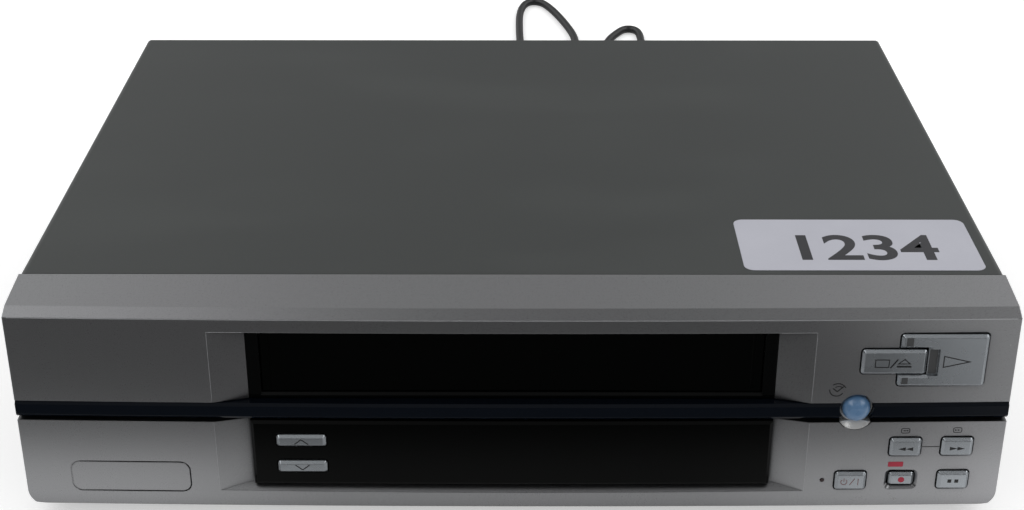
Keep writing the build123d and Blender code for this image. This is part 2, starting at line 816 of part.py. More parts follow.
panel_rear_y = panel_front_y + panel
with BuildPart() as tuner_module:
    block(tuner_x - tuner_width / 2, tuner_x + tuner_width / 2, deck_rear_y + 4, panel_front_y - 1,
          board_top, board_top + 27)
    for x in aerial_x:
        with Locations(Location((x, (panel_front_y - 1 + panel_rear_y + aerial_length) / 2, aerial_z),
                                (90, 0, 0))):
            Cylinder(aerial_radius, panel_rear_y + aerial_length - panel_front_y + 1)
        with Locations(Location((x, panel_rear_y + aerial_length - 4, aerial_z), (90, 0, 0))):
            Cylinder(aerial_radius - 0.7, 8.1, mode=Mode.SUBTRACT)
write("tuner_module", tuner_module)

with BuildPart() as euro_sockets:
    for x in euro_x:
        block(x - euro_width / 2, x + euro_width / 2, panel_front_y - 14.5, panel_rear_y + euro_proud,
              board_top, board_top + euro_height)
        block(x - euro_width / 2 + 2.4, x + euro_width / 2 - 2.4, panel_rear_y + euro_proud - 9, 200,
              board_top + 2.4, board_top + euro_height - 2.4, mode=Mode.SUBTRACT)
        block(x - euro_width / 2 + 6, x + euro_width / 2 - 6, panel_rear_y + euro_proud - 9.5,
              panel_rear_y + euro_proud - 1, board_top + 6, board_top + euro_height - 6)
write("euro_sockets", euro_sockets)

# ================================================================ deck
path_length = hypot(guide_end[0] - guide_start[0], guide_end[1] - guide_start[1])
path_angle = degrees(atan2(guide_end[1] - guide_start[1], guide_end[0] - guide_start[0]))
guide_middle = ((guide_start[0] + guide_end[0]) / 2, (guide_start[1] + guide_end[1]) / 2)
with BuildPart() as deck_plate:
    block(-deck_half, deck_half, deck_front_y, deck_rear_y, deck_bottom, deck_top)
    with BuildSketch(Plane.XY.offset(deck_bottom)):
        for side in (-1, 1):
            with Locations(Location((side * guide_middle[0], guide_middle[1]),
                                    90 + side * (path_angle - 90))):
                SlotCenterToCenter(path_length, slot_width)
        with Locations((0, clutch_y)):
            Circle(2.3)
        with Locations((pinion_x, pinion_y)):
            Circle(2.0)
        with Locations((capstan_x, capstan_y)):
            Circle(4.1)
        with Locations((-72, deck_front_y + 24), (72, deck_front_y + 24)):
            RectangleRounded(26, 22, 4)
    extrude(amount=deck_sheet, mode=Mode.SUBTRACT)
    for side in (-1, 1):
        block(*sorted((side * (slide_inner - 2), side * (bracket_outer + 0.5))), shaft_y - rack_radius - 1,
              shaft_y + rack_radius + 1, deck_bottom - 1, deck_top + 1, mode=Mode.SUBTRACT)

with BuildPart() as deck_posts:
    for x in (-reel_x, reel_x):
        column(x, reel_y, deck_top, 40, post_radius)
    column(pinch_x, pinch_y, deck_top, 33, 2.0)
    for x in (-loading_radius, loading_radius, cam_x):
        column(x, 0, gear_bottom - 0.8, deck_bottom, 1.5)
write("deck_plate", deck_plate, deck_posts)

with BuildPart() as carriage_brackets:
    with BuildSketch(side_plane(bracket_inner)):
        with BuildLine():
            Polyline(
                (bracket_front_y, deck_top),
                (bracket_front_y, bracket_top - 12),
                (bracket_front_y + 12, bracket_top),
                (bracket_rear_y, bracket_top),
                (bracket_rear_y, deck_top),
                (shaft_y + 7, deck_top),
                (shaft_y + 5, shaft_z - 5),
                (shaft_y - 5, shaft_z - 5),
                (shaft_y - 7, deck_top),
                close=True,
            )
        make_face()
        for y, z in ((front_pin_y, front_pin_z), (rear_pin_y, rear_pin_z)):
            with Locations((y + travel_in / 2, z)):
                SlotCenterToCenter(travel_in, slot_width, mode=Mode.SUBTRACT)
            with Locations((y + travel_in, z - travel_down / 2)):
                SlotCenterToCenter(travel_down, slot_width, rotation=90, mode=Mode.SUBTRACT)
        with Locations((shaft_y, shaft_z)):
            Circle(shaft_radius + pin_clearance, mode=Mode.SUBTRACT)
    extrude(amount=bracket_sheet)
    for y in (post_front_y, 0.0):
        block(bracket_outer, deck_half - fit, y - 8, y + 8, deck_top, deck_top + bracket_sheet)
    mirror(about=Plane.YZ)
write("carriage_brackets", carriage_brackets)

with BuildPart() as carriage_brace:
    block(-bracket_outer, bracket_outer, -14, 12, bracket_top, bracket_top + bracket_sheet)
    with BuildSketch(Plane.XY.offset(bracket_top)):
        with GridLocations(60, 0, 3, 1):
            SlotOverall(44, 12)
    extrude(amount=bracket_sheet, mode=Mode.SUBTRACT)
write("carriage_brace", carriage_brace)

with BuildPart() as carriage_slides:
    with BuildSketch(side_plane(slide_inner)):
        with BuildLine():
            Polyline(
                (holder_front_y, rack_root_z),
                (holder_front_y, front_pin_z + 8),
                (front_pin_y + 8, front_pin_z + 8),
                (rear_pin_y - 8, rear_pin_z + 5),
                (rear_pin_y + 6, rear_pin_z + 5),
                (rear_pin_y + 6, rear_pin_z - travel_down - 6),
                (rack_rear_y, rack_root_z + 6),
                (rack_rear_y, rack_root_z),
                close=True,
            )
        make_face()
        for y, z in ((front_pin_y, front_pin_z), (rear_pin_y, rear_pin_z)):
            with Locations((y, z - travel_down / 2)):
                SlotCenterToCenter(travel_down, slot_width, rotation=90, mode=Mode.SUBTRACT)
        with Locations(*[(shaft_y + (1.5 - i) * rack_pitch, rack_root_z) for i in range(rack_teeth)]):
            Polygon(
                (-tooth_root_half, 0.3),
                (-tooth_tip_half, -tooth_below - tooth_above),
                (tooth_tip_half, -tooth_below - tooth_above),
                (tooth_root_half, 0.3),
                align=None,
            )
    extrude(amount=slide_sheet)
    mirror(about=Plane.YZ)
write("carriage_slides", carriage_slides)

with BuildPart() as carriage_shaft:
    with BuildSketch(side_plane(slide_inner)):
        add(toothed(shaft_y, shaft_z, rack_pinion_teeth, 90))
    extrude(amount=slide_sheet)
    mirror(about=Plane.YZ)
    with Locations(Location((0, shaft_y, shaft_z), (0, 90, 0))):
        Cylinder(shaft_radius, 2 * (bracket_outer + 1.5))
write("carriage_shaft", carriage_shaft)

with BuildPart() as cassette_holder:
    for side in (-1, 1):
        block(*sorted((side * holder_inner, side * holder_outer)), holder_front_y, holder_rear_y,
              holder_floor, holder_roof + holder_sheet)
        block(*sorted((side * holder_inner, side * (holder_inner - holder_rail))), holder_front_y,
              holder_rear_y, holder_floor, holder_floor + holder_sheet)
        block(*sorted((side * holder_inner, side * (holder_inner - 9))), holder_rear_y - holder_sheet,
              holder_rear_y, holder_floor, holder_floor + 9)
        for y, z in ((front_pin_y, front_pin_z), (rear_pin_y, rear_pin_z)):
            with Locations(Location((side * (holder_outer + bracket_inner - 0.3) / 2, y, z), (0, 90, 0))):
                Cylinder(guide_pin_radius, bracket_inner - 0.3 - holder_outer)
    block(-holder_inner, holder_inner, holder_front_y, holder_rear_y, holder_roof,
          holder_roof + holder_sheet)
    with BuildSketch(Plane.XY.offset(holder_roof)):
        with Locations((0, (holder_front_y + holder_rear_y) / 2)):
            with GridLocations(62, 0, 3, 1):
                RectangleRounded(46, 30, 4)
    extrude(amount=holder_sheet, mode=Mode.SUBTRACT)
write("cassette_holder", cassette_holder)

# ---------------------------------------------------------------- head drum
tilt = radians(drum_tilt)
drum_axis = (-sin(tilt), 0, cos(tilt))
drum_plane = Plane(origin=(0, drum_y, deck_top), x_dir=(cos(tilt), 0, sin(tilt)), z_dir=drum_axis)
with BuildPart() as drum_base:
    with BuildSketch(drum_plane.offset(-6)):
        Circle(drum_radius + 3)
    extrude(amount=10)
    block(-60, 60, 0, 100, deck_top, 60, mode=Mode.INTERSECT)
write("drum_base", drum_base)

with BuildPart() as lower_drum:
    with BuildSketch(drum_plane.offset(4)):
        Circle(drum_radius)
        Circle(3.0 + pin_clearance, mode=Mode.SUBTRACT)
    extrude(amount=17)
write("lower_drum", lower_drum)

with BuildPart() as upper_drum:
    with BuildSketch(drum_plane.offset(21 + drum_gap)):
        Circle(drum_radius)
        with PolarLocations(drum_radius - 1, 2, 90):
            Rectangle(3, 4, mode=Mode.SUBTRACT)
    extrude(amount=2)
    with BuildSketch(drum_plane.offset(23 + drum_gap)):
        Circle(drum_radius)
    extrude(amount=10)
    with BuildSketch(drum_plane.offset(33 + drum_gap)):
        Circle(drum_radius - 4)
        Circle(8, mode=Mode.SUBTRACT)
    extrude(amount=-4, mode=Mode.SUBTRACT)
    with BuildSketch(drum_plane.offset(8)):
        Circle(3.0)
    extrude(amount=14)
write("upper_drum", upper_drum)

# ---------------------------------------------------------------- capstan, flywheel and pinch roller
with BuildPart() as capstan_flywheel:
    column(capstan_x, capstan_y, 12, 56, capstan_radius)
    column(capstan_x, capstan_y, 16.5, 22, flywheel_radius)
    column(capstan_x, capstan_y, 12.4, 16.5, capstan_pulley_radius)
write("capstan_flywheel", capstan_flywheel)

with BuildPart() as capstan_bearing:
    column(capstan_x, capstan_y, 22.3, 33, 4.0)
    column(capstan_x, capstan_y, deck_top, deck_top + 1.5, 7.0)
    column(capstan_x, capstan_y, 0, 40, capstan_radius + pin_clearance, mode=Mode.SUBTRACT)
write("capstan_bearing", capstan_bearing)

pinch_angle = radians(pinch_rest_angle)
roller_x = pinch_x + pinch_arm * cos(pinch_angle)
roller_y = pinch_y + pinch_arm * sin(pinch_angle)
with BuildPart() as pinch_lever:
    with BuildSketch(Plane.XY.offset(27)) as outline:
        with Locations((pinch_x, pinch_y)):
            Circle(4.0)
        with Locations((roller_x, roller_y)):
            Circle(3.5)
        make_hull()
        with Locations((pinch_x, pinch_y)):
            Circle(2.0 + pin_clearance, mode=Mode.SUBTRACT)
    extrude(amount=3)
    column(roller_x, roller_y, 30, 51, 1.5)
write("pinch_lever", pinch_lever)

with BuildPart() as pinch_roller:
    column(roller_x, roller_y, 34, 49, pinch_radius)
    column(roller_x, roller_y, 30, 60, 1.5 + pin_clearance, mode=Mode.SUBTRACT)
write("pinch_roller", pinch_roller)

# ---------------------------------------------------------------- reels, clutch, idler, belt
for x, name in ((-reel_x, "supply_reel"), (reel_x, "take_up_reel")):
    with BuildPart() as reel:
        column(x, reel_y, 26, 28.4, reel_radius)
        column(x, reel_y, 28.4, 31, 9.0)
        column(x, reel_y, 31, 44, 3.9)
        for angle in (90, 210, 330):
            with Locations(Location((x, reel_y, 36.5), (0, 0, angle))):
                with Locations((4.4, 0, 0)):
                    Box(3.2, 1.4, 11)
        column(x, reel_y, 0, 42, post_radius + pin_clearance, mode=Mode.SUBTRACT)
    write(name, reel)

with BuildPart() as clutch_pulley:
    column(0, clutch_y, 12.4, 16, clutch_pulley_radius)
    column(0, clutch_y, 16, 31.5, 2.0)
    column(0, clutch_y, 26, 28.6, clutch_hub_radius)
write("clutch_pulley", clutch_pulley)

idler_distance = clutch_hub_radius + idler_radius + idler_gap
idler_y = clutch_y - idler_distance
with BuildPart() as idler_arm:
    with BuildSketch(Plane.XY.offset(29)):
        with Locations((0, clutch_y), (0, idler_y)):
            Circle(3.6)
        make_hull()
        with Locations((0, clutch_y)):
            Circle(2.0 + pin_clearance, mode=Mode.SUBTRACT)
    extrude(amount=1.2)
    column(0, idler_y, 26, 29, 1.5)
write("idler_arm", idler_arm)

with BuildPart() as idler_wheel:
    column(0, idler_y, 26.3, 28.5, idler_radius)
    column(0, idler_y, 0, 60, 1.5 + pin_clearance, mode=Mode.SUBTRACT)
write("idler_wheel", idler_wheel)

belt_gap = 0.3
with BuildPart() as reel_belt:
    for thickness, mode in ((belt_gap + belt_thickness, Mode.ADD), (belt_gap, Mode.SUBTRACT)):
        with BuildSketch(Plane.XY.offset(13)):
            with Locations((0, clutch_y)):
                Circle(clutch_pulley_radius + thickness)
            with Locations((capstan_x, capstan_y)):
                Circle(capstan_pulley_radius + thickness)
            make_hull()
        extrude(amount=2, mode=mode)
write("reel_belt", reel_belt)


# ---------------------------------------------------------------- loading train
def loading_gear(side, name):
    """One of the two equal gears that carry the tape guides' cranks."""
    x = side * loading_radius
    phase = 0 if side < 0 else 180 + 180 / loading_teeth
    with BuildPart() as gear:
        with BuildSketch(Plane.XY.offset(gear_bottom)) as rim:
            add(toothed(x, 0, loading_teeth, phase))
        extrude(rim.sketch, amount=gear_face)
        with BuildSketch(Plane.XY.offset(gear_bottom + gear_face)) as crank:
            with Locations((x, 0), (x + side * crank_length * cos(pi / 4), -crank_length * sin(pi / 4))):
                Circle(3.2)
            make_hull()
        extrude(crank.sketch, amount=1.6)
        column(x, 0, 0, 60, 1.5 + pin_clearance, mode=Mode.SUBTRACT)
    write(name, gear)


loading_gear(-1, "supply_loading_gear")
loading_gear(1, "take_up_loading_gear")

with BuildPart() as cam_gear:
    with BuildSketch(Plane.XY.offset(gear_bottom)):
        add(toothed(cam_x, 0, cam_teeth, 180 / cam_teeth))
    extrude(amount=gear_face)
    with BuildSketch(Plane.XY.offset(gear_bottom + gear_face)):
        with Locations((cam_x + 3, 0)):
            Circle(15)
            Circle(12.5, mode=Mode.SUBTRACT)
    extrude(amount=-1.6, mode=Mode.SUBTRACT)
    column(cam_x, 0, 0, 60, 1.5 + pin_clearance, mode=Mode.SUBTRACT)
write("cam_gear", cam_gear)

pinion_line = degrees(atan2(pinion_y, pinion_x - cam_x))
cam_tooth_share = (pinion_line * cam_teeth / 360 - 0.5) % 1.0
pinion_phase = pinion_line + 180 + (0.5 + cam_tooth_share) * 360 / pinion_teeth
with BuildPart() as motor_pinion:
    with BuildSketch(Plane.XY.offset(gear_bottom)):
        add(toothed(pinion_x, pinion_y, pinion_teeth, pinion_phase))
    extrude(amount=gear_face)
    column(pinion_x, pinion_y, gear_bottom + gear_face, 26, 1.0)
write("motor_pinion", motor_pinion)

with BuildPart() as loading_motor:
    column(pinion_x, pinion_y, deck_top, 44, 11.0)
    column(pinion_x, pinion_y, 44, 46, 4.0)
    column(pinion_x, pinion_y, 0, 27, 1.0 + pin_clearance, mode=Mode.SUBTRACT)
write("loading_motor", loading_motor)

for side, name in ((-1, "supply_guide"), (1, "take_up_guide")):
    x, y = side * guide_start[0], guide_start[1]
    with BuildPart() as guide:
        column(x, y, deck_top + 0.3, deck_top + 4, guide_half)
        column(x, y, deck_bottom - 1, deck_top + 0.3, 1.8)
        column(x, y, deck_top + 4, 52, 1.2)
        column(x, y, 34, 50, 2.8)
        with Locations(Location((x, y - 3.0, 40), (4, 0, 0))):
            Cylinder(0.8, 22)
    write(name, guide)

with BuildPart() as tape_heads:
    block(-52, -45.5, 17, 26, deck_top, deck_top + 4)
    block(-51.5, -47, 18, 25, deck_top + 4, 51)
    block(44.5, 48.5, 29, 40, deck_top, deck_top + 5)
    block(45, 48.5, 31, 38, deck_top + 5, 51)
write("tape_heads", tape_heads)

# ================================================================ mains cord
relief_end = panel_rear_y + 22
cord_radius = cord_width / 2
with BuildPart() as cord_relief:
    with BuildSketch(front_plane(panel_front_y - 3)):
        with Locations((cord_x, cord_z)):
            RectangleRounded(12, 10, 2.5)
    extrude(amount=-2.8)
    with BuildSketch(front_plane(panel_front_y - 0.2)):
        with Locations((cord_x, cord_z)):
            RectangleRounded(9.0, 7.0, 2.0)
    extrude(amount=-panel - 0.4)
    with BuildSketch(front_plane(panel_rear_y + 0.2)):
        with Locations((cord_x, cord_z)):
            RectangleRounded(12, 10, 2.5)
    with BuildSketch(front_plane(relief_end)):
        with Locations((cord_x, cord_z)):
            RectangleRounded(6.4, 6.0, 2.0)
    loft()
write("cord_relief", cord_relief)

rest_z = cord_radius
plug_entry = (-187.0, 262.0, 7.0)
cord_points = [
    (cord_x, relief_end, cord_z),
    (cord_x, relief_end + 22, cord_z),
    (97.5, 210.0, 12.0),
    (98.0, 233.0, rest_z + 0.4),
    (98.0, 262.0, rest_z),
    (95.0, 302.0, rest_z),
    (87.0, 350.0, rest_z),
    (85.2, 385.0, rest_z),
    (85.2, 404.0, rest_z),
    (82.0, 412.0, rest_z),
    (75.5, 413.0, rest_z),
    (70.3, 405.5, rest_z),
    (62.0, 388.0, rest_z),
    (58.5, 360.0, rest_z),
    (60.0, 330.0, rest_z),
    (53.0, 314.0, rest_z),
    (41.0, 314.0, rest_z),
    (36.5, 332.0, rest_z),
    (41.0, 366.0, rest_z),
    (41.5, 395.0, rest_z),
    (35.0, 425.0, rest_z),
    (26.0, 455.0, rest_z),
    (18.5, 470.0, rest_z),
    (9.0, 469.0, rest_z),
    (4.0, 450.0, rest_z),
    (3.5, 415.0, rest_z),
    (4.5, 375.0, rest_z),
    (2.0, 320.0, rest_z),
    (-1.0, 265.0, rest_z),
    (-4.0, 225.0, rest_z),
    (-16.0, 206.0, rest_z),
    (-35.0, 207.0, rest_z),
    (-45.0, 228.0, rest_z),
    (-49.0, 270.0, rest_z),
    (-50.0, 320.0, rest_z),
    (-56.0, 358.0, rest_z),
    (-68.0, 378.0, rest_z),
    (-86.0, 376.0, rest_z),
    (-94.0, 354.0, rest_z),
    (-95.0, 310.0, rest_z),
    (-97.0, 260.0, rest_z),
    (-104.0, 225.0, rest_z),
    (-119.0, 212.0, rest_z),
    (-135.0, 220.0, rest_z),
    (-142.0, 242.0, rest_z),
    (-144.0, 280.0, rest_z),
    (-145.0, 324.0, rest_z),
    (-151.0, 350.0, rest_z),
    (-166.0, 362.0, rest_z),
    (-181.0, 350.0, rest_z),
    (-187.0, 326.0, rest_z + 0.4),
    (-187.5, 302.0, rest_z + 1.4),
    (-187.0, 280.0, rest_z + 3.7),
    plug_entry,
]
runs = [Vector(b) - Vector(a) for a, b in zip(cord_points, cord_points[1:])]
cord_radii = []
for before, after in zip(runs, runs[1:]):
    turn = radians(before.get_angle(after))
    cord_radii.append(0.45 * min(before.length, after.length) / tan(turn / 2))
print("cord bend radii", [round(r, 1) for r in cord_radii])
with BuildPart() as mains_cord:
    with BuildLine() as route:
        FilletPolyline(*cord_points, radius=cord_radii)
    with BuildSketch(Plane(origin=cord_points[0], z_dir=runs[0])):
        Circle(cord_radius)
    sweep(path=route.line)
cord_length = sum(edge.length for edge in route.line.edges())
print("cord length", cord_length, "volume ratio",
      mains_cord.part.volume / (cord_length * pi * cord_radius**2))
write("mains_cord", mains_cord)

plug_plane = Plane(origin=plug_entry, x_dir=(1, 0, 0), z_dir=(0, -1, 0))
with BuildPart() as mains_plug:
    with BuildSketch(Plane(origin=plug_entry, x_dir=(1, 0, 0), z_dir=runs[-1])):
        RectangleRounded(8, 7, 2)
    with BuildSketch(plug_plane.offset(plug_neck)):
        RectangleRounded(plug_width, plug_height, 4)
    loft()
    with BuildSketch(plug_plane.offset(plug_neck)):
        RectangleRounded(plug_width, plug_height, 4)
    extrude(amount=plug_body)
    with BuildSketch(plug_plane.offset(plug_neck + plug_body)):
        with Locations((-pin_spacing / 2, 0), (pin_spacing / 2, 0)):
            Circle(2.0)
    extrude(amount=pin_length)
write("mains_plug", mains_plug)
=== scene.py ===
# %% [markdown]
# # A front-loading video cassette recorder
# The recorder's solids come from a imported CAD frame, in metres, with +X to the right, +Y to the rear
# and +Z up. This file dresses them: it lays the mains cord, prints the symbols on the keys, adds the
# sticker, screws, socket contacts and plug, and gives every piece a procedural finish.

# %% Load the frame
import json
import math

import bmesh
import bpy
from mathutils import Matrix, Vector

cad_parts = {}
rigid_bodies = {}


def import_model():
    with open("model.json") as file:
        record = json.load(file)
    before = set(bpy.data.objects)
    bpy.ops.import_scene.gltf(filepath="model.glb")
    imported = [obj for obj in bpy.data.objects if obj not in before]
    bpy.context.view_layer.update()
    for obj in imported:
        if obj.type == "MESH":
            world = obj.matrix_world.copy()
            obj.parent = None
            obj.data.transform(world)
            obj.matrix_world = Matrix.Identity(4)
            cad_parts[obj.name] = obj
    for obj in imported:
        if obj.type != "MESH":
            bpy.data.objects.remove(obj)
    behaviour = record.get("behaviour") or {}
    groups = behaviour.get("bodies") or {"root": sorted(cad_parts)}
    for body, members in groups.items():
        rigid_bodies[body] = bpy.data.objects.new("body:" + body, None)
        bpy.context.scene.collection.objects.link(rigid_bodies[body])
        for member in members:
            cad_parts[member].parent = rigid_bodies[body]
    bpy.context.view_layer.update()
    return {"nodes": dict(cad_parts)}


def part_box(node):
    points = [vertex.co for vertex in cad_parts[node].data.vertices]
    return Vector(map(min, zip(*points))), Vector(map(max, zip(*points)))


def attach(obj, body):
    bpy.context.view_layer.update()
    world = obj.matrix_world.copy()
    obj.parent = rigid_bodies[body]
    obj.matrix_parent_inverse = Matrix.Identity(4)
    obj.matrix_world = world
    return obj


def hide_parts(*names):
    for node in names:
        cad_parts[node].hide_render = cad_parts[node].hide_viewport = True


for leftover in list(bpy.data.objects):
    bpy.data.objects.remove(leftover)
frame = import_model()
MM = 0.001


def add_object(name, data):
    """Put new data into the scene as an object at the origin."""
    made = bpy.data.objects.new(name, data)
    bpy.context.scene.collection.objects.link(made)
    return made


# %% [markdown]
# ## The camera
# A long lens stands in front of the recorder and above it. The angle is set first, because the cord
# behind the case is judged against what this camera can see.

# %% Camera
IMAGE_WIDTH = 1024
FOCAL_PIXELS = 1723.5
SENSOR = 36.0
CAMERA_PLACE = (0.0017, -0.7043, 0.4047)
LOOK_DOWN, ROLL, PAN = 27.274, 0.011, 0.153
camera_data = bpy.data.cameras.new("camera")
camera_data.sensor_width = SENSOR
camera_data.lens = FOCAL_PIXELS * SENSOR / IMAGE_WIDTH
camera = add_object("camera", camera_data)
camera.location = CAMERA_PLACE
camera.rotation_euler = [math.radians(angle) for angle in (90 - LOOK_DOWN, ROLL, PAN)]
bpy.context.scene.camera = camera
bpy.context.scene.view_settings.view_transform = "Standard"
print("lens", round(camera_data.lens, 2), "mm")


# %% [markdown]
# ## Arithmetic for shaders
# Noise, masks and colours are sums and products of node outputs. A small class wraps one output
# socket, so that an expression such as `1 - mask * 0.4` adds its own Math nodes.

# %% Wire
class Wire:
    """An output socket of a node tree that can be added, multiplied and passed on."""

    def __init__(self, tree, socket=None):
        self.tree = tree
        self.socket = socket

    def node(self, kind, settings=None, sockets=None, output=0):
        """Add one node: its settings first, then its sockets' values or links."""
        made = self.tree.nodes.new(kind)
        for name, value in (settings or {}).items():
            if name == "stops":
                while len(made.color_ramp.elements) < len(value):
                    made.color_ramp.elements.new(0.5)
                for element, (place, shade) in zip(made.color_ramp.elements, value):
                    element.position = place
                    element.color = (*shade, 1.0)
            else:
                setattr(made, name, value)
        for name, value in (sockets or {}).items():
            if isinstance(value, Wire):
                self.tree.links.new(value.socket, made.inputs[name])
            else:
                made.inputs[name].default_value = value
        return Wire(self.tree, made.outputs[output])

    def maths(self, operation, first, second=0.0):
        return self.node("ShaderNodeMath", {"operation": operation}, {0: first, 1: second})

    def __add__(self, other):
        return self.maths("ADD", self, other)

    def __radd__(self, other):
        return self.maths("ADD", other, self)

    def __sub__(self, other):
        return self.maths("SUBTRACT", self, other)

    def __rsub__(self, other):
        return self.maths("SUBTRACT", other, self)

    def __mul__(self, other):
        return self.maths("MULTIPLY", self, other)

    def __rmul__(self, other):
        return self.maths("MULTIPLY", other, self)

    def __gt__(self, other):
        return self.maths("GREATER_THAN", self, other)

    def __abs__(self):
        return self.maths("ABSOLUTE", self)


def noise(place, scale, detail=3.0, stretch=(1, 1, 1)):
    """Noise of one grain size, in grains per metre, stretched along the axes."""
    spread = place.node("ShaderNodeMapping", None, {"Vector": place, "Scale": stretch})
    return place.node("ShaderNodeTexNoise", None,
                      {"Vector": spread, "Scale": scale, "Detail": detail}, "Fac")


def between(value, low, high):
    """A soft step of a value: 0 below low, 1 above high."""
    return value.node("ShaderNodeMapRange", {"interpolation_type": "SMOOTHSTEP"},
                      {"Value": value, "From Min": low, "From Max": high})


def blend(mask, first, second):
    """A colour that goes from first to second as the mask goes from 0 to 1."""
    colours = [c if isinstance(c, Wire) else (*c, 1.0) for c in (first, second)]
    return mask.node("ShaderNodeMix", {"data_type": "RGBA"},
                     {0: mask, 6: colours[0], 7: colours[1]}, 2)


def rounded(place, radius):
    """A normal that softens hard edges, as on a moulding or a folded sheet."""
    return place.node("ShaderNodeBevel", {"samples": 4}, {"Radius": radius})


print("shader arithmetic ready")


# %% [markdown]
# ## Finishes
# Every finish is a function of object coordinates, so it stays on its piece when a joint moves. Each
# has its own grain, a slow drift of colour, and the wear of years on a shelf.

# %% Material builder
finishes = {}


def finish(name, recipe, **fixed):
    """Make a material from a recipe that returns what varies, and fixed values for the shader."""
    material = bpy.data.materials.new(name)
    material.use_nodes = True
    shader = material.node_tree.nodes["Principled BSDF"]
    place = Wire(material.node_tree).node("ShaderNodeTexCoord", output="Object")
    for socket, value in fixed.items():
        shader.inputs[socket.replace("_", " ")].default_value = value
    for socket, value in recipe(place).items():
        if isinstance(value, Wire):
            material.node_tree.links.new(value.socket, shader.inputs[socket])
        else:
            shader.inputs[socket].default_value = value
    finishes[name] = material
    print("finish", name)


def open_share(place, reach):
    """How open a spot is: 1 on a free face, near 0 deep in a gap narrower than the reach."""
    return place.node("ShaderNodeAmbientOcclusion", {"samples": 4}, {"Distance": reach}, "AO")


def bumped(place, height, depth, radius=0.0004):
    """A bump of the given depth in metres over edges rounded by radius."""
    return place.node("ShaderNodeBump", None,
                      {"Height": height, "Distance": depth, "Normal": rounded(place, radius)})


print("material builder ready")


# %% [markdown]
# The cover is folded steel under a dark textured paint. A fine orange-peel grain gives it a satin
# look, and handling leaves faint lighter smears.

# %% Cover paint
def cover_paint(place):
    grain = noise(place, 1800, 2)
    smear = between(noise(place, 9, 4, (1, 2.5, 1)), 0.45, 0.75)
    speck = noise(place, 700, 1) > 0.76
    colour = blend(smear, (0.046, 0.050, 0.049), (0.055, 0.0595, 0.058))
    colour = blend(speck * 0.2, colour, (0.12, 0.125, 0.12))
    return {"Base Color": colour, "Roughness": 0.46 + smear * 0.06 + grain * 0.04,
            "Normal": bumped(place, grain, 0.00003, 0.0008)}


finish("cover_paint", cover_paint, Metallic=0.15)


# %% [markdown]
# The front is moulded plastic under silver paint. The flakes are far too small to see one by one, so
# they show as a metallic sheen with a very fine sparkle. Small chips bare the plastic. Painted shade
# darkens it in corners and recesses, and painted shadow makes the gaps round the keys black.

# %% Silver paint
FLAKE_GRAIN = 5200
# Painted shadow: the black put into the narrow gaps round the keys.
GAP_SHADOW_BLACK = (0.012, 0.012, 0.012)


def silver_paint(place):
    flake = noise(place, FLAKE_GRAIN, 1)
    drift = noise(place, 14, 2)
    chip = (noise(place, 260, 3) > 0.775) * (noise(place, 34, 2) > 0.56)
    colour = blend(flake, (0.36, 0.365, 0.375), (0.44, 0.445, 0.455))
    colour = blend(between(drift, 0.35, 0.7) * 0.3, colour, (0.40, 0.39, 0.41))
    colour = blend(chip * 0.8, colour, (0.62, 0.62, 0.62))
    # Painted shade: darker where the face is hemmed in within 12 mm, in corners and recesses.
    colour = blend(between(open_share(place, 0.012), 0.45, 0.95), (0.12, 0.122, 0.126), colour)
    # Painted shadow: black where a gap narrower than 1 mm closes in round the keys.
    colour = blend(between(open_share(place, 0.0010), 0.12, 0.42), GAP_SHADOW_BLACK, colour)
    return {"Base Color": colour, "Roughness": 0.25 + flake * 0.07, "Metallic": 0.95 - chip * 0.6,
            "Normal": bumped(place, flake, 0.000006, 0.0005)}


finish("silver_paint", silver_paint)


# %% [markdown]
# The keys are moulded in the same silver but stay smoother, polished by fingers, and painted shadow
# makes their gaps just as black.

# %% Key silver
def key_silver(place):
    flake = noise(place, FLAKE_GRAIN, 1)
    touch = between(noise(place, 120, 2), 0.4, 0.7)
    colour = blend(flake, (0.385, 0.41, 0.435), (0.46, 0.49, 0.52))
    # Painted shadow: black where the key's narrow gaps close in.
    colour = blend(between(open_share(place, 0.0012), 0.14, 0.46), GAP_SHADOW_BLACK, colour)
    return {"Base Color": colour, "Roughness": 0.22 + touch * 0.08, "Metallic": 0.92,
            "Normal": bumped(place, flake, 0.000004, 0.0004)}


finish("key_silver", key_silver)


# %% [markdown]
# The door and the display window are polished black plastic. Dust and hair-fine wiping scratches are
# all that shows on them, and only at an angle.

# %% Black gloss and the navy strip
def polished(base, dusted):
    def recipe(place):
        scratch = between(noise(place, 420, 2, (0.05, 1, 1)), 0.66, 0.74)
        dust = between(noise(place, 2600, 1), 0.70, 0.80)
        return {"Base Color": blend(dust * 0.2, base, dusted),
                "Roughness": 0.07 + scratch * 0.05 + dust * 0.1,
                "Normal": bumped(place, noise(place, 60, 1), 0.000008, 0.0004)}
    return recipe


finish("black_gloss", polished((0.0005, 0.0007, 0.0006), (0.004, 0.004, 0.004)), Specular_IOR_Level=0.12)
finish("jamb_black", polished((0.0018, 0.002, 0.002), (0.006, 0.006, 0.006)), Specular_IOR_Level=0.12)
finish("navy_gloss", polished((0.0030, 0.0048, 0.0085), (0.010, 0.012, 0.018)), Specular_IOR_Level=0.2)


# %% [markdown]
# Plain mouldings, rubber, plated steel, aluminium and the other inner finishes share one recipe with
# a grain, a slow drift and a direction for brushing or turning marks.

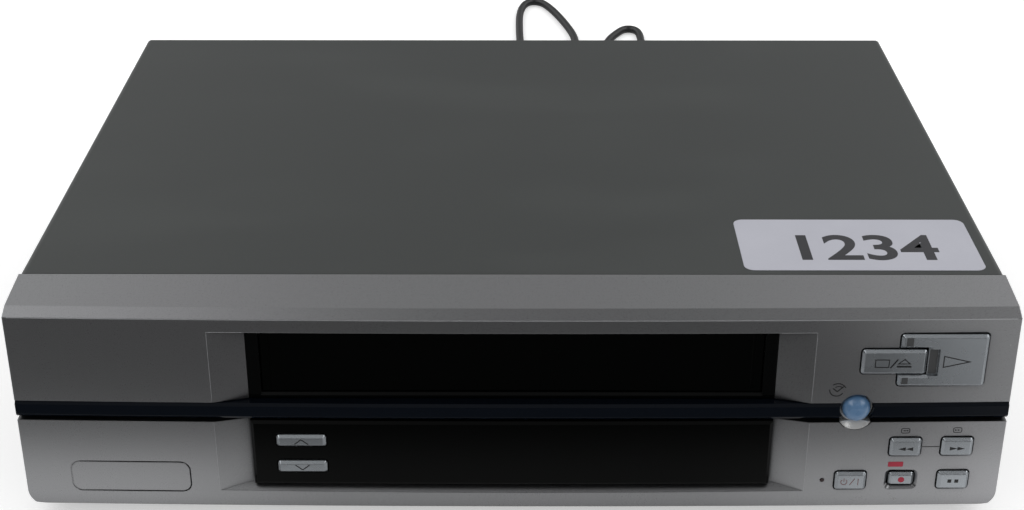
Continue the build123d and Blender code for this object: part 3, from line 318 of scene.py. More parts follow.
# %% Grained finishes
def grained(dark, light, grain_scale, rough, rough_swing, depth, metallic=0.0, stretch=(1, 1, 1)):
    def recipe(place):
        grain = noise(place, grain_scale, 3, stretch)
        drift = between(noise(place, 40, 3), 0.35, 0.7)
        colour = blend(grain * 0.6 + drift * 0.4, dark, light)
        return {"Base Color": colour, "Roughness": rough + grain * rough_swing + drift * 0.03,
                "Metallic": metallic, "Normal": bumped(place, grain, depth, 0.0003)}
    return recipe


print("grained recipe ready")

# %% [markdown]
# Plastics and rubber are dull, dark and softly mottled. Every row gives a dark and a light colour, the
# grains per metre, the roughness and its swing, and the depth of the grain in metres.

# %% Plastics and rubber
PLASTICS = {
    "black_moulding": ((0.012, 0.012, 0.013), (0.026, 0.026, 0.028), 1500, 0.42, 0.12, 0.00002),
    "panel_black": ((0.016, 0.016, 0.017), (0.030, 0.030, 0.031), 2200, 0.50, 0.10, 0.00003),
    "rubber_black": ((0.014, 0.014, 0.014), (0.030, 0.030, 0.030), 900, 0.68, 0.12, 0.00003),
    "cord_sheath": ((0.010, 0.010, 0.011), (0.020, 0.020, 0.021), 1300, 0.40, 0.10, 0.00001),
    "white_acetal": ((0.66, 0.64, 0.58), (0.76, 0.75, 0.70), 500, 0.36, 0.10, 0.00001),
    "ferrite": ((0.045, 0.042, 0.040), (0.090, 0.085, 0.080), 800, 0.60, 0.10, 0.00003),
    "lamp_red": ((0.012, 0.004, 0.004), (0.030, 0.008, 0.008), 900, 0.18, 0.05, 0.000004),
    "tube_glass": ((0.030, 0.045, 0.045), (0.050, 0.070, 0.070), 300, 0.08, 0.04, 0.000004),
}
for name, recipe in PLASTICS.items():
    finish(name, grained(*recipe))

# %% [markdown]
# The metals add a metallic share and the way their marks run: brushed sheet is streaked along x, and
# turned or ground pieces are streaked round their axis.

# %% Metals
EVEN, BRUSHED, TURNED = (1, 1, 1), (0.06, 1, 1), (1, 1, 0.05)
METALS = {
    "zinc_steel": ((0.34, 0.34, 0.32), (0.50, 0.50, 0.47), 700, 0.28, 0.16, 0.00001, 0.95, BRUSHED),
    "screw_black": ((0.030, 0.030, 0.033), (0.070, 0.070, 0.075), 900, 0.34, 0.10, 0.00001, 0.8, EVEN),
    "turned_aluminium": ((0.52, 0.52, 0.53), (0.66, 0.66, 0.67), 1600, 0.22, 0.12, 0.000006, 1.0, TURNED),
    "ground_steel": ((0.36, 0.36, 0.37), (0.48, 0.48, 0.49), 1800, 0.16, 0.10, 0.000004, 1.0, TURNED),
    "bronze": ((0.36, 0.24, 0.10), (0.50, 0.34, 0.16), 900, 0.34, 0.10, 0.00001, 0.9, EVEN),
    "chrome": ((0.74, 0.74, 0.73), (0.82, 0.82, 0.81), 300, 0.20, 0.08, 0.000004, 0.55, EVEN),
    "nickel": ((0.62, 0.60, 0.56), (0.74, 0.72, 0.68), 900, 0.18, 0.10, 0.000004, 1.0, EVEN),
}
for name, recipe in METALS.items():
    finish(name, grained(*recipe))

# %% [markdown]
# Prints, paper, bared paint and the painted highlights and painted shade on the front and the play key
# are thin layers with hardly any height of their own, so their grain is fine and shallow.

# %% Prints and paper
PRINTS = {
    "mark_black": ((0.006, 0.006, 0.007), (0.014, 0.014, 0.015), 2600, 0.45, 0.10, 0.000002),
    "mark_red": ((0.42, 0.020, 0.050), (0.52, 0.035, 0.070), 2600, 0.40, 0.10, 0.000002),
    "mark_rose": ((0.20, 0.085, 0.085), (0.27, 0.110, 0.110), 2600, 0.40, 0.10, 0.000002),
    # Painted shade: the grey of the play key's shaded steps.
    "painted_step_shade": ((0.050, 0.052, 0.054), (0.070, 0.072, 0.074), 1800, 0.40, 0.10, 0.000004),
    # Painted highlight: the pale silver of the bright lines along the front's edges.
    "painted_edge_highlight": ((0.60, 0.61, 0.63), (0.70, 0.71, 0.73), 1800, 0.30, 0.10, 0.000002, 0.6),
    "scuff": ((0.55, 0.55, 0.55), (0.70, 0.70, 0.70), 1800, 0.50, 0.10, 0.00001),
    "sticker_paper": ((0.49, 0.495, 0.555), (0.54, 0.545, 0.605), 900, 0.50, 0.10, 0.00001),
    "sticker_ink": ((0.022, 0.022, 0.026), (0.050, 0.050, 0.055), 700, 0.50, 0.10, 0.000002),
}
for name, recipe in PRINTS.items():
    finish(name, grained(*recipe))


# %% [markdown]
# The boards are brown phenolic sheet with a green mask over copper tracks. A brick texture turned on
# its side is close to the long parallel tracks.

# %% Boards
def board_finish(place):
    tracks = place.node("ShaderNodeTexBrick", {"offset": 0.35},
                        {"Vector": place, "Scale": 160.0, "Mortar Size": 0.012, "Brick Width": 0.9,
                         "Row Height": 0.22}, "Fac")
    drift = noise(place, 60, 2)
    colour = blend(drift, (0.10, 0.065, 0.03), (0.14, 0.09, 0.045))
    return {"Base Color": blend(tracks, colour, (0.06, 0.13, 0.05)), "Roughness": 0.4 + drift * 0.1,
            "Normal": bumped(place, tracks, 0.00003, 0.0002)}


finish("board", board_finish)


# %% [markdown]
# The round key is steel-blue plastic with a clear coat, its tone drifting a little at random.

# %% Blue plastic
def blue_plastic(place):
    drift = between(noise(place, 160, 2), 0.3, 0.7)
    return {"Base Color": blend(drift, (0.10, 0.21, 0.38), (0.13, 0.25, 0.43)),
            "Roughness": 0.22 + drift * 0.08, "Normal": bumped(place, drift, 0.000006, 0.0004)}


finish("blue_plastic", blue_plastic, Coat_Weight=0.5, Coat_Roughness=0.08)

# %% [markdown]
# ## Dressing the solids
# Each solid already has the right shape, so it only swaps the plain colour in its material slot for a
# finish. One dictionary keeps the choice of finish in one place.

# %% Dress the solids
DRESS = {
    "cover_paint": ["top_cover"],
    "silver_paint": ["front_bezel"],
    "black_gloss": ["cassette_door", "display_window"],
    "jamb_black": ["door_frame"],
    "navy_gloss": ["trim_strip"],
    "black_moulding": ["base_frame", "loading_motor", "tape_heads"],
    "panel_black": ["rear_panel", "euro_sockets"],
    "rubber_black": ["feet", "pinch_roller", "idler_wheel", "reel_belt"],
    "zinc_steel": ["deck_plate", "carriage_brackets", "carriage_brace", "carriage_slides",
                   "carriage_shaft", "cassette_holder", "tuner_module", "pinch_lever", "idler_arm",
                   "standoffs"],
    "turned_aluminium": ["upper_drum", "lower_drum", "drum_base", "supply_guide", "take_up_guide",
                         "power_parts"],
    "ground_steel": ["capstan_flywheel"],
    "bronze": ["capstan_bearing"],
    "white_acetal": ["supply_reel", "take_up_reel", "clutch_pulley", "supply_loading_gear",
                     "take_up_loading_gear", "cam_gear", "motor_pinion"],
    "ferrite": ["power_transformer"],
    "board": ["main_board", "front_board"],
    "tube_glass": ["display_tube"],
    "lamp_red": ["standby_lamp"],
    "chrome": ["button_dish"],
    "blue_plastic": ["timer_button"],
    "cord_sheath": ["cord_relief", "mains_plug", "mains_cord"],
    "screw_black": ["case_screws"],
}
DRESS["key_silver"] = [name for name in frame["nodes"]
                       if name.endswith("_button") and name != "timer_button"]
for material_name, node_names in DRESS.items():
    for node_name in node_names:
        mesh = frame["nodes"][node_name].data
        mesh.materials.clear()
        mesh.materials.append(finishes[material_name])
print("dressed", sum(len(names) for names in DRESS.values()), "of", len(frame["nodes"]), "solids")

# %% [markdown]
# ## The mains cord
# A round cord leaves the tapered relief in the rear panel, drops to the table, shows two loose bights
# above the cover's far edge, lies in easy bends behind the case and rises a little to the plug. It is
# one smooth NURBS line through points in millimetres.

# %% Cord
CORD_DIAMETER = 5.0 * MM
LYING_Z = 2.5
LEAVING = [(97.0, 162.5, 24.0), (97.0, 184.5, 24.0), (97.5, 210.0, 12.0), (98.0, 233.0, 2.9)]
LYING = [
    (98.0, 262.0), (95.0, 302.0), (87.0, 350.0), (85.2, 385.0), (85.2, 404.0), (82.0, 412.0), (75.5, 413.0),
    (70.3, 405.5), (62.0, 388.0), (58.5, 360.0), (60.0, 330.0), (53.0, 314.0), (41.0, 314.0), (36.5, 332.0),
    (41.0, 366.0), (41.5, 395.0), (35.0, 425.0), (26.0, 455.0), (18.5, 470.0), (9.0, 469.0), (4.0, 450.0),
    (3.5, 415.0), (4.5, 375.0), (2.0, 320.0), (-1.0, 265.0), (-4.0, 225.0), (-16.0, 206.0), (-35.0, 207.0),
    (-45.0, 228.0), (-49.0, 270.0), (-50.0, 320.0), (-56.0, 358.0), (-68.0, 378.0), (-86.0, 376.0),
    (-94.0, 354.0), (-95.0, 310.0), (-97.0, 260.0), (-104.0, 225.0), (-119.0, 212.0), (-135.0, 220.0),
    (-142.0, 242.0), (-144.0, 280.0), (-145.0, 324.0), (-151.0, 350.0), (-166.0, 362.0), (-181.0, 350.0),
]
RISING = [(-187.0, 326.0, 2.9), (-187.5, 302.0, 3.9), (-187.0, 280.0, 6.2), (-187.0, 262.0, 7.0)]
CORD_ROUTE = LEAVING + [(x, y, LYING_Z) for x, y in LYING] + RISING
cord_curve = bpy.data.curves.new("mains_lead", "CURVE")
cord_curve.dimensions = "3D"
cord_curve.bevel_depth = CORD_DIAMETER / 2
cord_curve.bevel_resolution = 6
cord_curve.resolution_u = 10
cord_line = cord_curve.splines.new("NURBS")
cord_line.points.add(len(CORD_ROUTE) - 1)
for control, corner in zip(cord_line.points, CORD_ROUTE):
    control.co = (*(Vector(corner) * MM), 1.0)
cord_line.order_u = 3
cord_line.use_endpoint_u = True
cord = add_object("mains_lead", cord_curve)
cord.data.materials.append(finishes["cord_sheath"])
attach(cord, "chassis")
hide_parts("mains_cord")
print("cord route", len(CORD_ROUTE), "points")


# %% [markdown]
# ## Drawing tools
# Small pieces are drawn in millimetres in their own flat frame, x to the right, y up and z towards
# the viewer, and then laid where they belong by one matrix. bmesh starts each from a circle, a grid or
# a profile that is spun.

# %% Drawing tools
PRINT = 0.04
FACING_FRONT = Matrix.Rotation(math.pi / 2, 4, "X") @ Matrix.Scale(MM, 4)
FACING_REAR = Matrix.Rotation(math.pi, 4, "Z") @ FACING_FRONT


def to_mesh(name, shape):
    """Turn a finished bmesh into mesh data."""
    mesh = bpy.data.meshes.new(name)
    shape.to_mesh(mesh)
    shape.free()
    return mesh


def verts_of(geom):
    """Only the vertices of what an operator returned."""
    return [item for item in geom if isinstance(item, bmesh.types.BMVert)]


def thicken(shape, height):
    """Give flat faces a thickness."""
    grown = bmesh.ops.extrude_face_region(shape, geom=list(shape.faces), use_keep_orig=True)
    bmesh.ops.translate(shape, verts=verts_of(grown["geom"]), vec=(0, 0, height))


def link(name, shape, material, body):
    """Make a finished bmesh a piece that rides on a body."""
    bmesh.ops.recalc_face_normals(shape, faces=shape.faces)
    mesh = to_mesh(name, shape)
    piece = add_object(name, mesh)
    mesh.materials.append(finishes[material])
    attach(piece, body)
    print(name, len(mesh.vertices), "vertices on", body)
    return piece


print("print height", PRINT, "mm")

# %% [markdown]
# Every symbol is built from flat faces: a polygon squeezed to a width and a height, its corners rounded
# by a bevel of the vertices, and a frame left by an inset whose middle is deleted.

# %% Flat shapes
def plate(shape, sides, width, height, x, y, turn=0.0):
    """A filled polygon of one width and height, centred at (x, y); one of its corners starts on top."""
    verts = bmesh.ops.create_circle(shape, cap_ends=True, segments=sides, radius=1.0)["verts"]
    bmesh.ops.rotate(shape, verts=verts, matrix=Matrix.Rotation(math.radians(turn), 3, "Z"))
    low = [min(vert.co[axis] for vert in verts) for axis in (0, 1)]
    high = [max(vert.co[axis] for vert in verts) for axis in (0, 1)]
    bmesh.ops.translate(shape, verts=verts, vec=(-(low[0] + high[0]) / 2, -(low[1] + high[1]) / 2, 0))
    bmesh.ops.scale(shape, verts=verts, vec=(width / (high[0] - low[0]), height / (high[1] - low[1]), 1))
    bmesh.ops.translate(shape, verts=verts, vec=(x, y, 0))
    return verts[0].link_faces[0]


def box_plate(shape, width, height, x, y):
    """A filled upright rectangle."""
    return plate(shape, 4, width, height, x, y, 45)


def round_off(shape, face, radius):
    """Round the corners of a flat face."""
    made = bmesh.ops.bevel(shape, geom=list(face.verts), offset=radius, segments=5, profile=0.5,
                           affect="VERTICES", material=-1)
    return made["verts"][0].link_faces[0]


def hollow(shape, face, line):
    """Leave only the frame of a flat face."""
    shape.normal_update()
    bmesh.ops.inset_region(shape, faces=[face], thickness=line, use_boundary=True, use_even_offset=True)
    bmesh.ops.delete(shape, geom=[face], context="FACES")


print("flat shapes ready")

# %% [markdown]
# Lines are thin bars, and bent ones are a short rib spun round a point.

# %% Strokes and arcs
def stroke(shape, start, end, line):
    """A straight bar between two points."""
    along = Vector(end) - Vector(start)
    verts = list(box_plate(shape, along.length, line, 0, 0).verts)
    middle = (Vector(start) + Vector(end)) / 2
    bmesh.ops.rotate(shape, verts=verts, matrix=Matrix.Rotation(math.atan2(along.y, along.x), 3, "Z"))
    bmesh.ops.translate(shape, verts=verts, vec=(*middle, 0))


def arc(shape, x, y, radius, start, end, line):
    """A bent bar from one angle to another, in degrees anticlockwise from the right."""
    ends = [shape.verts.new((radius + side * line / 2, 0, 0)) for side in (-1, 1)]
    rib = shape.edges.new(ends)
    bmesh.ops.rotate(shape, verts=ends, matrix=Matrix.Rotation(math.radians(start), 3, "Z"))
    bmesh.ops.translate(shape, verts=ends, vec=(x, y, 0))
    bmesh.ops.spin(shape, geom=[*ends, rib], cent=(x, y, 0), axis=(0, 0, 1), steps=16,
                   angle=math.radians(end - start))


print("strokes and arcs ready")

# %% [markdown]
# Solid fittings are turned from a profile, or skinned through rounded cross sections that are bridged
# one to the next and closed at both ends.

# %% Turned and skinned shapes
def lathe(shape, profile, steps=28):
    """A turned piece from (radius, height) pairs, standing on the flat frame."""
    line = [shape.verts.new((radius, 0, height)) for radius, height in profile]
    ribs = [shape.edges.new(pair) for pair in zip(line, line[1:])]
    bmesh.ops.spin(shape, geom=[*line, *ribs], cent=(0, 0, 0), axis=(0, 0, 1), steps=steps,
                   angle=math.tau, use_merge=True)
    bmesh.ops.remove_doubles(shape, verts=shape.verts, dist=0.001)


def loft(shape, sections, sides=32):
    """A closed skin through (height, half width, half depth, squareness) sections."""
    loops = []
    for height, half_wide, half_deep, squareness in sections:
        verts = bmesh.ops.create_circle(shape, segments=sides, radius=1.0)["verts"]
        for vert in verts:
            spread = (abs(vert.co.x) ** squareness + abs(vert.co.y) ** squareness) ** (-1 / squareness)
            vert.co = (vert.co.x * spread * half_wide, vert.co.y * spread * half_deep, height)
        loops.append({edge for vert in verts for edge in vert.link_edges})
    for lower, upper in zip(loops, loops[1:]):
        bmesh.ops.bridge_loops(shape, edges=list(lower | upper))
    bmesh.ops.holes_fill(shape, edges=shape.edges)


print("turned and skinned shapes ready")

# %% [markdown]
# The front is bowed by 2.2 mm over its width, so a mark on it follows the same arc. The radius comes
# from the bezel's own box. A mark is a print of a few hundredths of a millimetre, raised so that it
# never flickers with the face below it.

# %% The bowed face
BOW = 2.2 * MM
bezel_low, bezel_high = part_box("front_bezel")
half_width = (bezel_high[0] - bezel_low[0]) / 2
bow_radius = (half_width ** 2 + BOW ** 2) / (2 * BOW)


def face_y(x):
    """Where the bowed front lies at a distance x from the middle."""
    return bezel_low[1] + bow_radius - math.sqrt(bow_radius ** 2 - x ** 2)


def print_mark(name, draw, material, body, y=None):
    """Print a drawing on a flat key at y, or on the bowed front where y is left out."""
    shape = bmesh.new()
    draw(shape)
    thicken(shape, PRINT)
    bmesh.ops.transform(shape, matrix=FACING_FRONT, verts=shape.verts)
    for vert in shape.verts:
        vert.co.y += face_y(vert.co.x) if y is None else y
    return link(name, shape, material, body)


print("bow radius", round(bow_radius, 3), "m")

# %% [markdown]
# ## Key symbols
# The transport keys carry the usual signs: an outlined triangle for play, a rectangle for stop, a
# triangle over a bar for eject, double triangles for winding, a dot for record, two blocks for pause,
# a broken ring and bar for power, and a chevron for each channel key. Grey patches on the play key's
# steps are painted shade. All sizes and places are in millimetres, x to the right and then up from the
# table.

# %% Key symbols
UP, LEFT, RIGHT = 0, 90, -90
SIGN_LINE = 0.42
FINE_LINE = 0.3
PLAY_STEP = 1.1 * MM


def key_middle(node):
    """The middle of a key's front in millimetres."""
    low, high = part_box(node)
    return (low[0] + high[0]) / 2 / MM, (low[2] + high[2]) / 2 / MM


def play_sign(shape):
    hollow(shape, plate(shape, 3, 10.8, 5.3, 167.5, 72.5, RIGHT), SIGN_LINE)


def stop_eject_sign(shape):
    hollow(shape, round_off(shape, box_plate(shape, 5.5, 3.6, 139.2, 71.9), 0.3), SIGN_LINE * 0.9)
    stroke(shape, (142.4, 69.9), (145.0, 73.8), 0.6)
    hollow(shape, plate(shape, 3, 5.4, 2.4, 147.5, 72.8, UP), SIGN_LINE * 0.9)
    box_plate(shape, 5.5, 0.75, 147.5, 70.6)


def winding_sign(node, turn):
    def draw(shape):
        x, z = key_middle(node)
        for offset in (-1.45, 1.45):
            plate(shape, 3, 2.9, 1.6, x + offset, z - 0.3, turn)
    return draw


def pause_sign(shape):
    x, z = key_middle("pause_button")
    for offset in (-1.35, 1.35):
        box_plate(shape, 1.5, 1.5, x + offset, z)


def record_sign(shape):
    plate(shape, 32, 2.5, 2.5, *key_middle("record_button"))


def power_sign(shape):
    x, z = key_middle("power_button")
    arc(shape, x - 2.6, z, 1.2, 125, 415, FINE_LINE)
    stroke(shape, (x - 2.6, z + 0.2), (x - 2.6, z + 1.7), FINE_LINE)
    stroke(shape, (x - 0.3, z - 1.4), (x + 1.5, z + 1.6), FINE_LINE)
    stroke(shape, (x + 2.9, z - 1.4), (x + 2.9, z + 1.5), 0.28)


def chevron_sign(node, direction):
    def draw(shape):
        x, z = key_middle(node)
        for side in (-1, 1):
            stroke(shape, (x + side * 2.7, z - direction * 1.2), (x, z + direction * 1.0), 0.4)
    return draw


# Painted shade: grey patches on the play key's front beside its steps.
def face_shade_patches(shape):
    box_plate(shape, 2.6, 3.6, 148.9, 81.0)
    box_plate(shape, 2.3, 2.8, 148.4, 64.1)


# Painted shade: a grey patch on the play key's sunk step.
def sunk_shade_patch(shape):
    box_plate(shape, 3.1, 10.4, 158.5, 72.1)


KEY_SIGNS = {
    "play": (play_sign, "mark_black"),
    "stop_eject": (stop_eject_sign, "mark_black"),
    "rewind": (winding_sign("rewind_button", LEFT), "mark_black"),
    "fast_forward": (winding_sign("fast_forward_button", RIGHT), "mark_black"),
    "pause": (pause_sign, "mark_black"),
    "record": (record_sign, "mark_red"),
    "power": (power_sign, "mark_rose"),
    "channel_up": (chevron_sign("channel_up_button", 1), "mark_black"),
    "channel_down": (chevron_sign("channel_down_button", -1), "mark_black"),
}
for key, (draw, material) in KEY_SIGNS.items():
    print_mark(f"{key}_sign", draw, material, f"{key}_key",
               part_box(f"{key}_button")[0][1])

play_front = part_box("play_button")[0][1]
for name, draw, y in (("play_shade_patches", face_shade_patches, play_front),
                      ("play_step_shade_patch", sunk_shade_patch, play_front + PLAY_STEP)):
    print_mark(name, draw, "painted_step_shade", "play_key", y)

# %% [markdown]
# ## Marks on the front
# Over the winding keys stand two boxed arrows, a line joins the keys, a clock sign stands over the
# round key and a red tab over the record key. Thin bright lines along the crest's edge and the recesses'
# edges are painted highlights. A few pale nicks and scratches show years of handling.

# %% Marks on the front
RECESS_X, WINDOW_X, RECESS_TOP = 114.2, 100.8, 84.5
CREST_EDGE_Z, CREST_STEP, CREST_STEPS = 89.85, 31.4, 6


def boxed_arrows(x, z, turn):
    def draw(shape):
        hollow(shape, round_off(shape, box_plate(shape, 3.5, 2.4, x, z), 0.85), 0.28)
        for offset in (-0.55, 0.55):
            plate(shape, 3, 1.0, 0.7, x + offset, z, turn)
    return draw


def joining_line(shape):
    stroke(shape, (158.7, 33.5), (165.3, 33.5), FINE_LINE)


def record_tab(shape):
    round_off(shape, box_plate(shape, 5.9, 2.3, 149.2, 25.5), 0.35)


def clock_sign(shape):
    arc(shape, 123.7, 59.0, 3.3, 25, 125, 0.4)
    arc(shape, 124.1, 59.2, 1.9, 35, 135, 0.32)
    arc(shape, 123.4, 59.5, 2.7, 175, 330, 0.4)
    stroke(shape, (121.9, 60.2), (123.6, 58.8), SIGN_LINE)
    stroke(shape, (123.5, 58.7), (125.9, 61.0), SIGN_LINE)


def nicks(shape):
    for start, end, line in (
        ((147.1, 11.8), (148.9, 11.2), 0.16), ((148.3, 10.7), (150.4, 8.1), 0.22),
        ((149.4, 9.5), (151.0, 9.2), 0.14), ((166.0, 81.9), (168.2, 82.6), 0.14),
    ):
        stroke(shape, start, end, line)
    plate(shape, 5, 0.6, 0.5, 187.0, 78.6, 20)
    plate(shape, 5, 0.4, 0.3, 176.9, 12.4, 50)


# Painted highlights: thin bright strokes along the recess edges and the crest's lower edge.
def painted_edge_glints(shape):
    for side in (-1, 1):
        recess_x = side * RECESS_X
        stroke(shape, (recess_x, 54.4), (recess_x, RECESS_TOP - 0.2), 0.16)
        stroke(shape, (recess_x, RECESS_TOP), (side * WINDOW_X, RECESS_TOP), 0.2)
        stroke(shape, (recess_x, 44.6), (recess_x, 13.6), 0.14)
    for step in range(-CREST_STEPS, CREST_STEPS):
        start = step * CREST_STEP
        stroke(shape, (start, CREST_EDGE_Z), (start + CREST_STEP, CREST_EDGE_Z), 0.34)


FRONT_MARKS = {
    "painted_edge_glints": (painted_edge_glints, "painted_edge_highlight", "silver_plastic"),
    "winding_box_left": (boxed_arrows(151.5, 40.9, LEFT), "mark_black", "dark_plastic"),
    "winding_box_right": (boxed_arrows(171.6, 41.0, RIGHT), "mark_black", "dark_plastic"),
    "joining_line": (joining_line, "mark_black", "dark_plastic"),
    "record_tab": (record_tab, "mark_red", "lamp_plastic"),
    "clock_sign": (clock_sign, "mark_black", "dark_plastic"),
    "handling_nicks": (nicks, "scuff", "silver_plastic"),
}
for name, (draw, material, slot_name) in FRONT_MARKS.items():
    print_mark(name, draw, material, "chassis")

# %% [markdown]
# ## Screws
# The cover is held by pan-head screws with a cross recess. Each head is turned, and a cross cut from a
# three by three grid is bridged to its top ring and pushed in. Sizes are in millimetres.

# %% Screws
HEAD_PROFILE = [(3.6, 0.0), (3.6, 0.7), (3.35, 1.25), (2.9, 1.6), (2.35, 1.8)]
HEAD_TOP = HEAD_PROFILE[-1][1]
CROSS_HALF_LINE, CROSS_REACH, CROSS_DEPTH, CROSS_TAPER = 0.45, 1.9, 1.2, 0.6
SIDE_SCREWS_Y, SIDE_SCREW_Z = (-60.0, 120.0), 50.0
REAR_SCREWS_X, REAR_SCREW_Z = (-150.0, 0.0, 150.0), 89.0
FACING_RIGHT = Matrix.Rotation(math.pi / 2, 4, "Z") @ FACING_FRONT
FACING_LEFT = Matrix.Rotation(-math.pi / 2, 4, "Z") @ FACING_FRONT


def cross_part(part):
    """Move one coordinate of the grid to the cross's line or to its end."""
    return math.copysign(CROSS_HALF_LINE if abs(part) < 0.6 else CROSS_REACH, part)


def screw_head(shape, place):
    """A pan head with a cross recess, standing on the plane that the matrix gives."""
    head = bmesh.new()
    lathe(head, HEAD_PROFILE, 24)
    grid = bmesh.ops.create_grid(head, x_segments=3, y_segments=3, size=1.0)["verts"]
    for vert in grid:
        vert.co = (cross_part(vert.co.x), cross_part(vert.co.y), HEAD_TOP)
    cross = [face for face in head.faces if all(vert in grid for vert in face.verts)]
    corners = [face for face in cross
               if min(abs(part) for part in face.calc_center_median()[:2]) > CROSS_HALF_LINE]
    cross = [face for face in cross if face not in corners]
    bmesh.ops.delete(head, geom=corners, context="FACES")
    open_edges = [edge for edge in head.edges if edge.is_boundary and edge.verts[0].co.z > 1.0]
    bmesh.ops.bridge_loops(head, edges=open_edges)
    pushed = verts_of(bmesh.ops.extrude_face_region(head, geom=cross)["geom"])
    bmesh.ops.scale(head, verts=pushed, vec=(CROSS_TAPER, CROSS_TAPER, 1))
    bmesh.ops.translate(head, verts=pushed, vec=(0, 0, -CROSS_DEPTH))
    bmesh.ops.delete(head, geom=cross, context="FACES")
    bmesh.ops.holes_fill(head, edges=[edge for edge in head.edges if edge.verts[0].co.z < 0.1])
    bmesh.ops.transform(head, matrix=place, verts=head.verts)
    mesh = to_mesh("head", head)
    shape.from_mesh(mesh)
    bpy.data.meshes.remove(mesh)


def at(x, y, z, facing):
    """A matrix that lays a drawing in millimetres at a place, turned one way."""
    return Matrix.Translation((x * MM, y * MM, z * MM)) @ facing


cover_low, cover_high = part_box("top_cover")
shape = bmesh.new()
for y in SIDE_SCREWS_Y:
    screw_head(shape, at(cover_high[0] / MM, y, SIDE_SCREW_Z, FACING_RIGHT))
    screw_head(shape, at(cover_low[0] / MM, y, SIDE_SCREW_Z, FACING_LEFT))
for x in REAR_SCREWS_X:
    screw_head(shape, at(x, cover_high[1] / MM, REAR_SCREW_Z, FACING_REAR))
cover_screws = link("cover_screws", shape, "screw_black", "chassis")
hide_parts("case_screws")

# %% [markdown]
# ## Cord ends
# The moulded boot behind the case has rings so that it bends evenly. It is a skin through rounded
# sections in the same box as the CAD piece that it stands for.

# %% Boot
boot_low, boot_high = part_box("cord_relief")
boot_x, boot_z = [(boot_low[axis] + boot_high[axis]) / 2 / MM for axis in (0, 2)]
boot_length = (boot_high[1] - boot_low[1]) / MM
BOOT_HEAD, RINGS, RING_GROOVE = 7.4, 7, 0.8
sections = [(0.0, 5.7, 4.7, 5), (0.3, 6.0, 5.0, 5), (2.7, 6.0, 5.0, 5), (2.8, 4.5, 3.5, 5),
            (5.2, 4.5, 3.5, 5), (5.2, 6.0, 5.0, 5), (BOOT_HEAD - 0.3, 6.0, 5.0, 5),
            (BOOT_HEAD, 5.7, 4.7, 5)]
pitch = (boot_length - BOOT_HEAD) / RINGS
for ring in range(RINGS):
    start = BOOT_HEAD + ring * pitch
    wide, deep = 5.5 - 2.3 * ring / RINGS, 4.7 - 1.7 * ring / RINGS
    for share, shrink in ((0.1, RING_GROOVE), (0.4, RING_GROOVE), (0.5, 0.0), (0.95, 0.1)):
        sections.append((start + share * pitch, wide - shrink, deep - shrink, 3))
shape = bmesh.new()
loft(shape, sections)
bmesh.ops.transform(shape, matrix=at(boot_x, boot_low[1] / MM, boot_z, FACING_REAR), verts=shape.verts)
cord_boot = link("cord_boot", shape, "cord_sheath", "chassis")
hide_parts("cord_relief")

# %% [markdown]
# The flat two-pin plug has a ribbed neck, a smooth body and two pins with insulating sleeves. It sits
# where the cord ends.

# %% Plug
PLUG_RIBS, RIB_PITCH = 4, 2.2
PIN_SPACING = 18.6
PIN_PARTS = {
    "plug_sleeves": ([(0.0, 29.5), (1.9, 29.5), (1.9, 39.8), (0.0, 39.8)], "cord_sheath", "cord_rubber"),
    "plug_pins": ([(0.0, 39.5), (2.0, 39.5), (2.0, 47.6), (1.7, 48.5), (1.0, 49.0), (0.0, 49.0)],
                  "nickel", "screw_steel"),
}
plug_place = at(*CORD_ROUTE[-1], FACING_FRONT)
sections = []
for rib in range(PLUG_RIBS):
    start, wide, deep = RIB_PITCH * rib, 4.0 + 0.9 * rib, 3.5 + 0.45 * rib
    sections += [(start, wide, deep, 2.6), (start + 1.2, wide + 0.2, deep + 0.1, 2.6),
                 (start + 1.4, wide - 0.6, deep - 0.6, 2.6), (start + 2.0, wide - 0.4, deep - 0.5, 2.6)]
sections += [(9.2, 8.0, 5.2, 3), (13.0, 11.4, 6.3, 3.5), (16.0, 13.0, 6.8, 4), (28.8, 13.0, 6.8, 4),
             (29.7, 12.5, 6.3, 4), (30.0, 11.8, 5.7, 4)]
shape = bmesh.new()
loft(shape, sections)
bmesh.ops.transform(shape, matrix=plug_place, verts=shape.verts)
plug_body = link("plug_body", shape, "cord_sheath", "chassis")

for name, (profile, material, slot_name) in PIN_PARTS.items():
    shape = bmesh.new()
    lathe(shape, profile, 20)
    pin = shape.verts[:] + shape.edges[:] + shape.faces[:]
    copied = bmesh.ops.duplicate(shape, geom=pin)["geom"]
    for side, geom in ((-1, pin), (1, copied)):
        bmesh.ops.translate(shape, verts=verts_of(geom), vec=(side * PIN_SPACING / 2, 0, 0))
    bmesh.ops.transform(shape, matrix=plug_place, verts=shape.verts)
    link(name, shape, material, "chassis")
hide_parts("mains_plug")

# %% [markdown]
# ## Sockets at the rear
# Each 21-way socket has two rows of sprung contacts in its insert. One aerial socket has a centre pin
# and the other a centre tube.

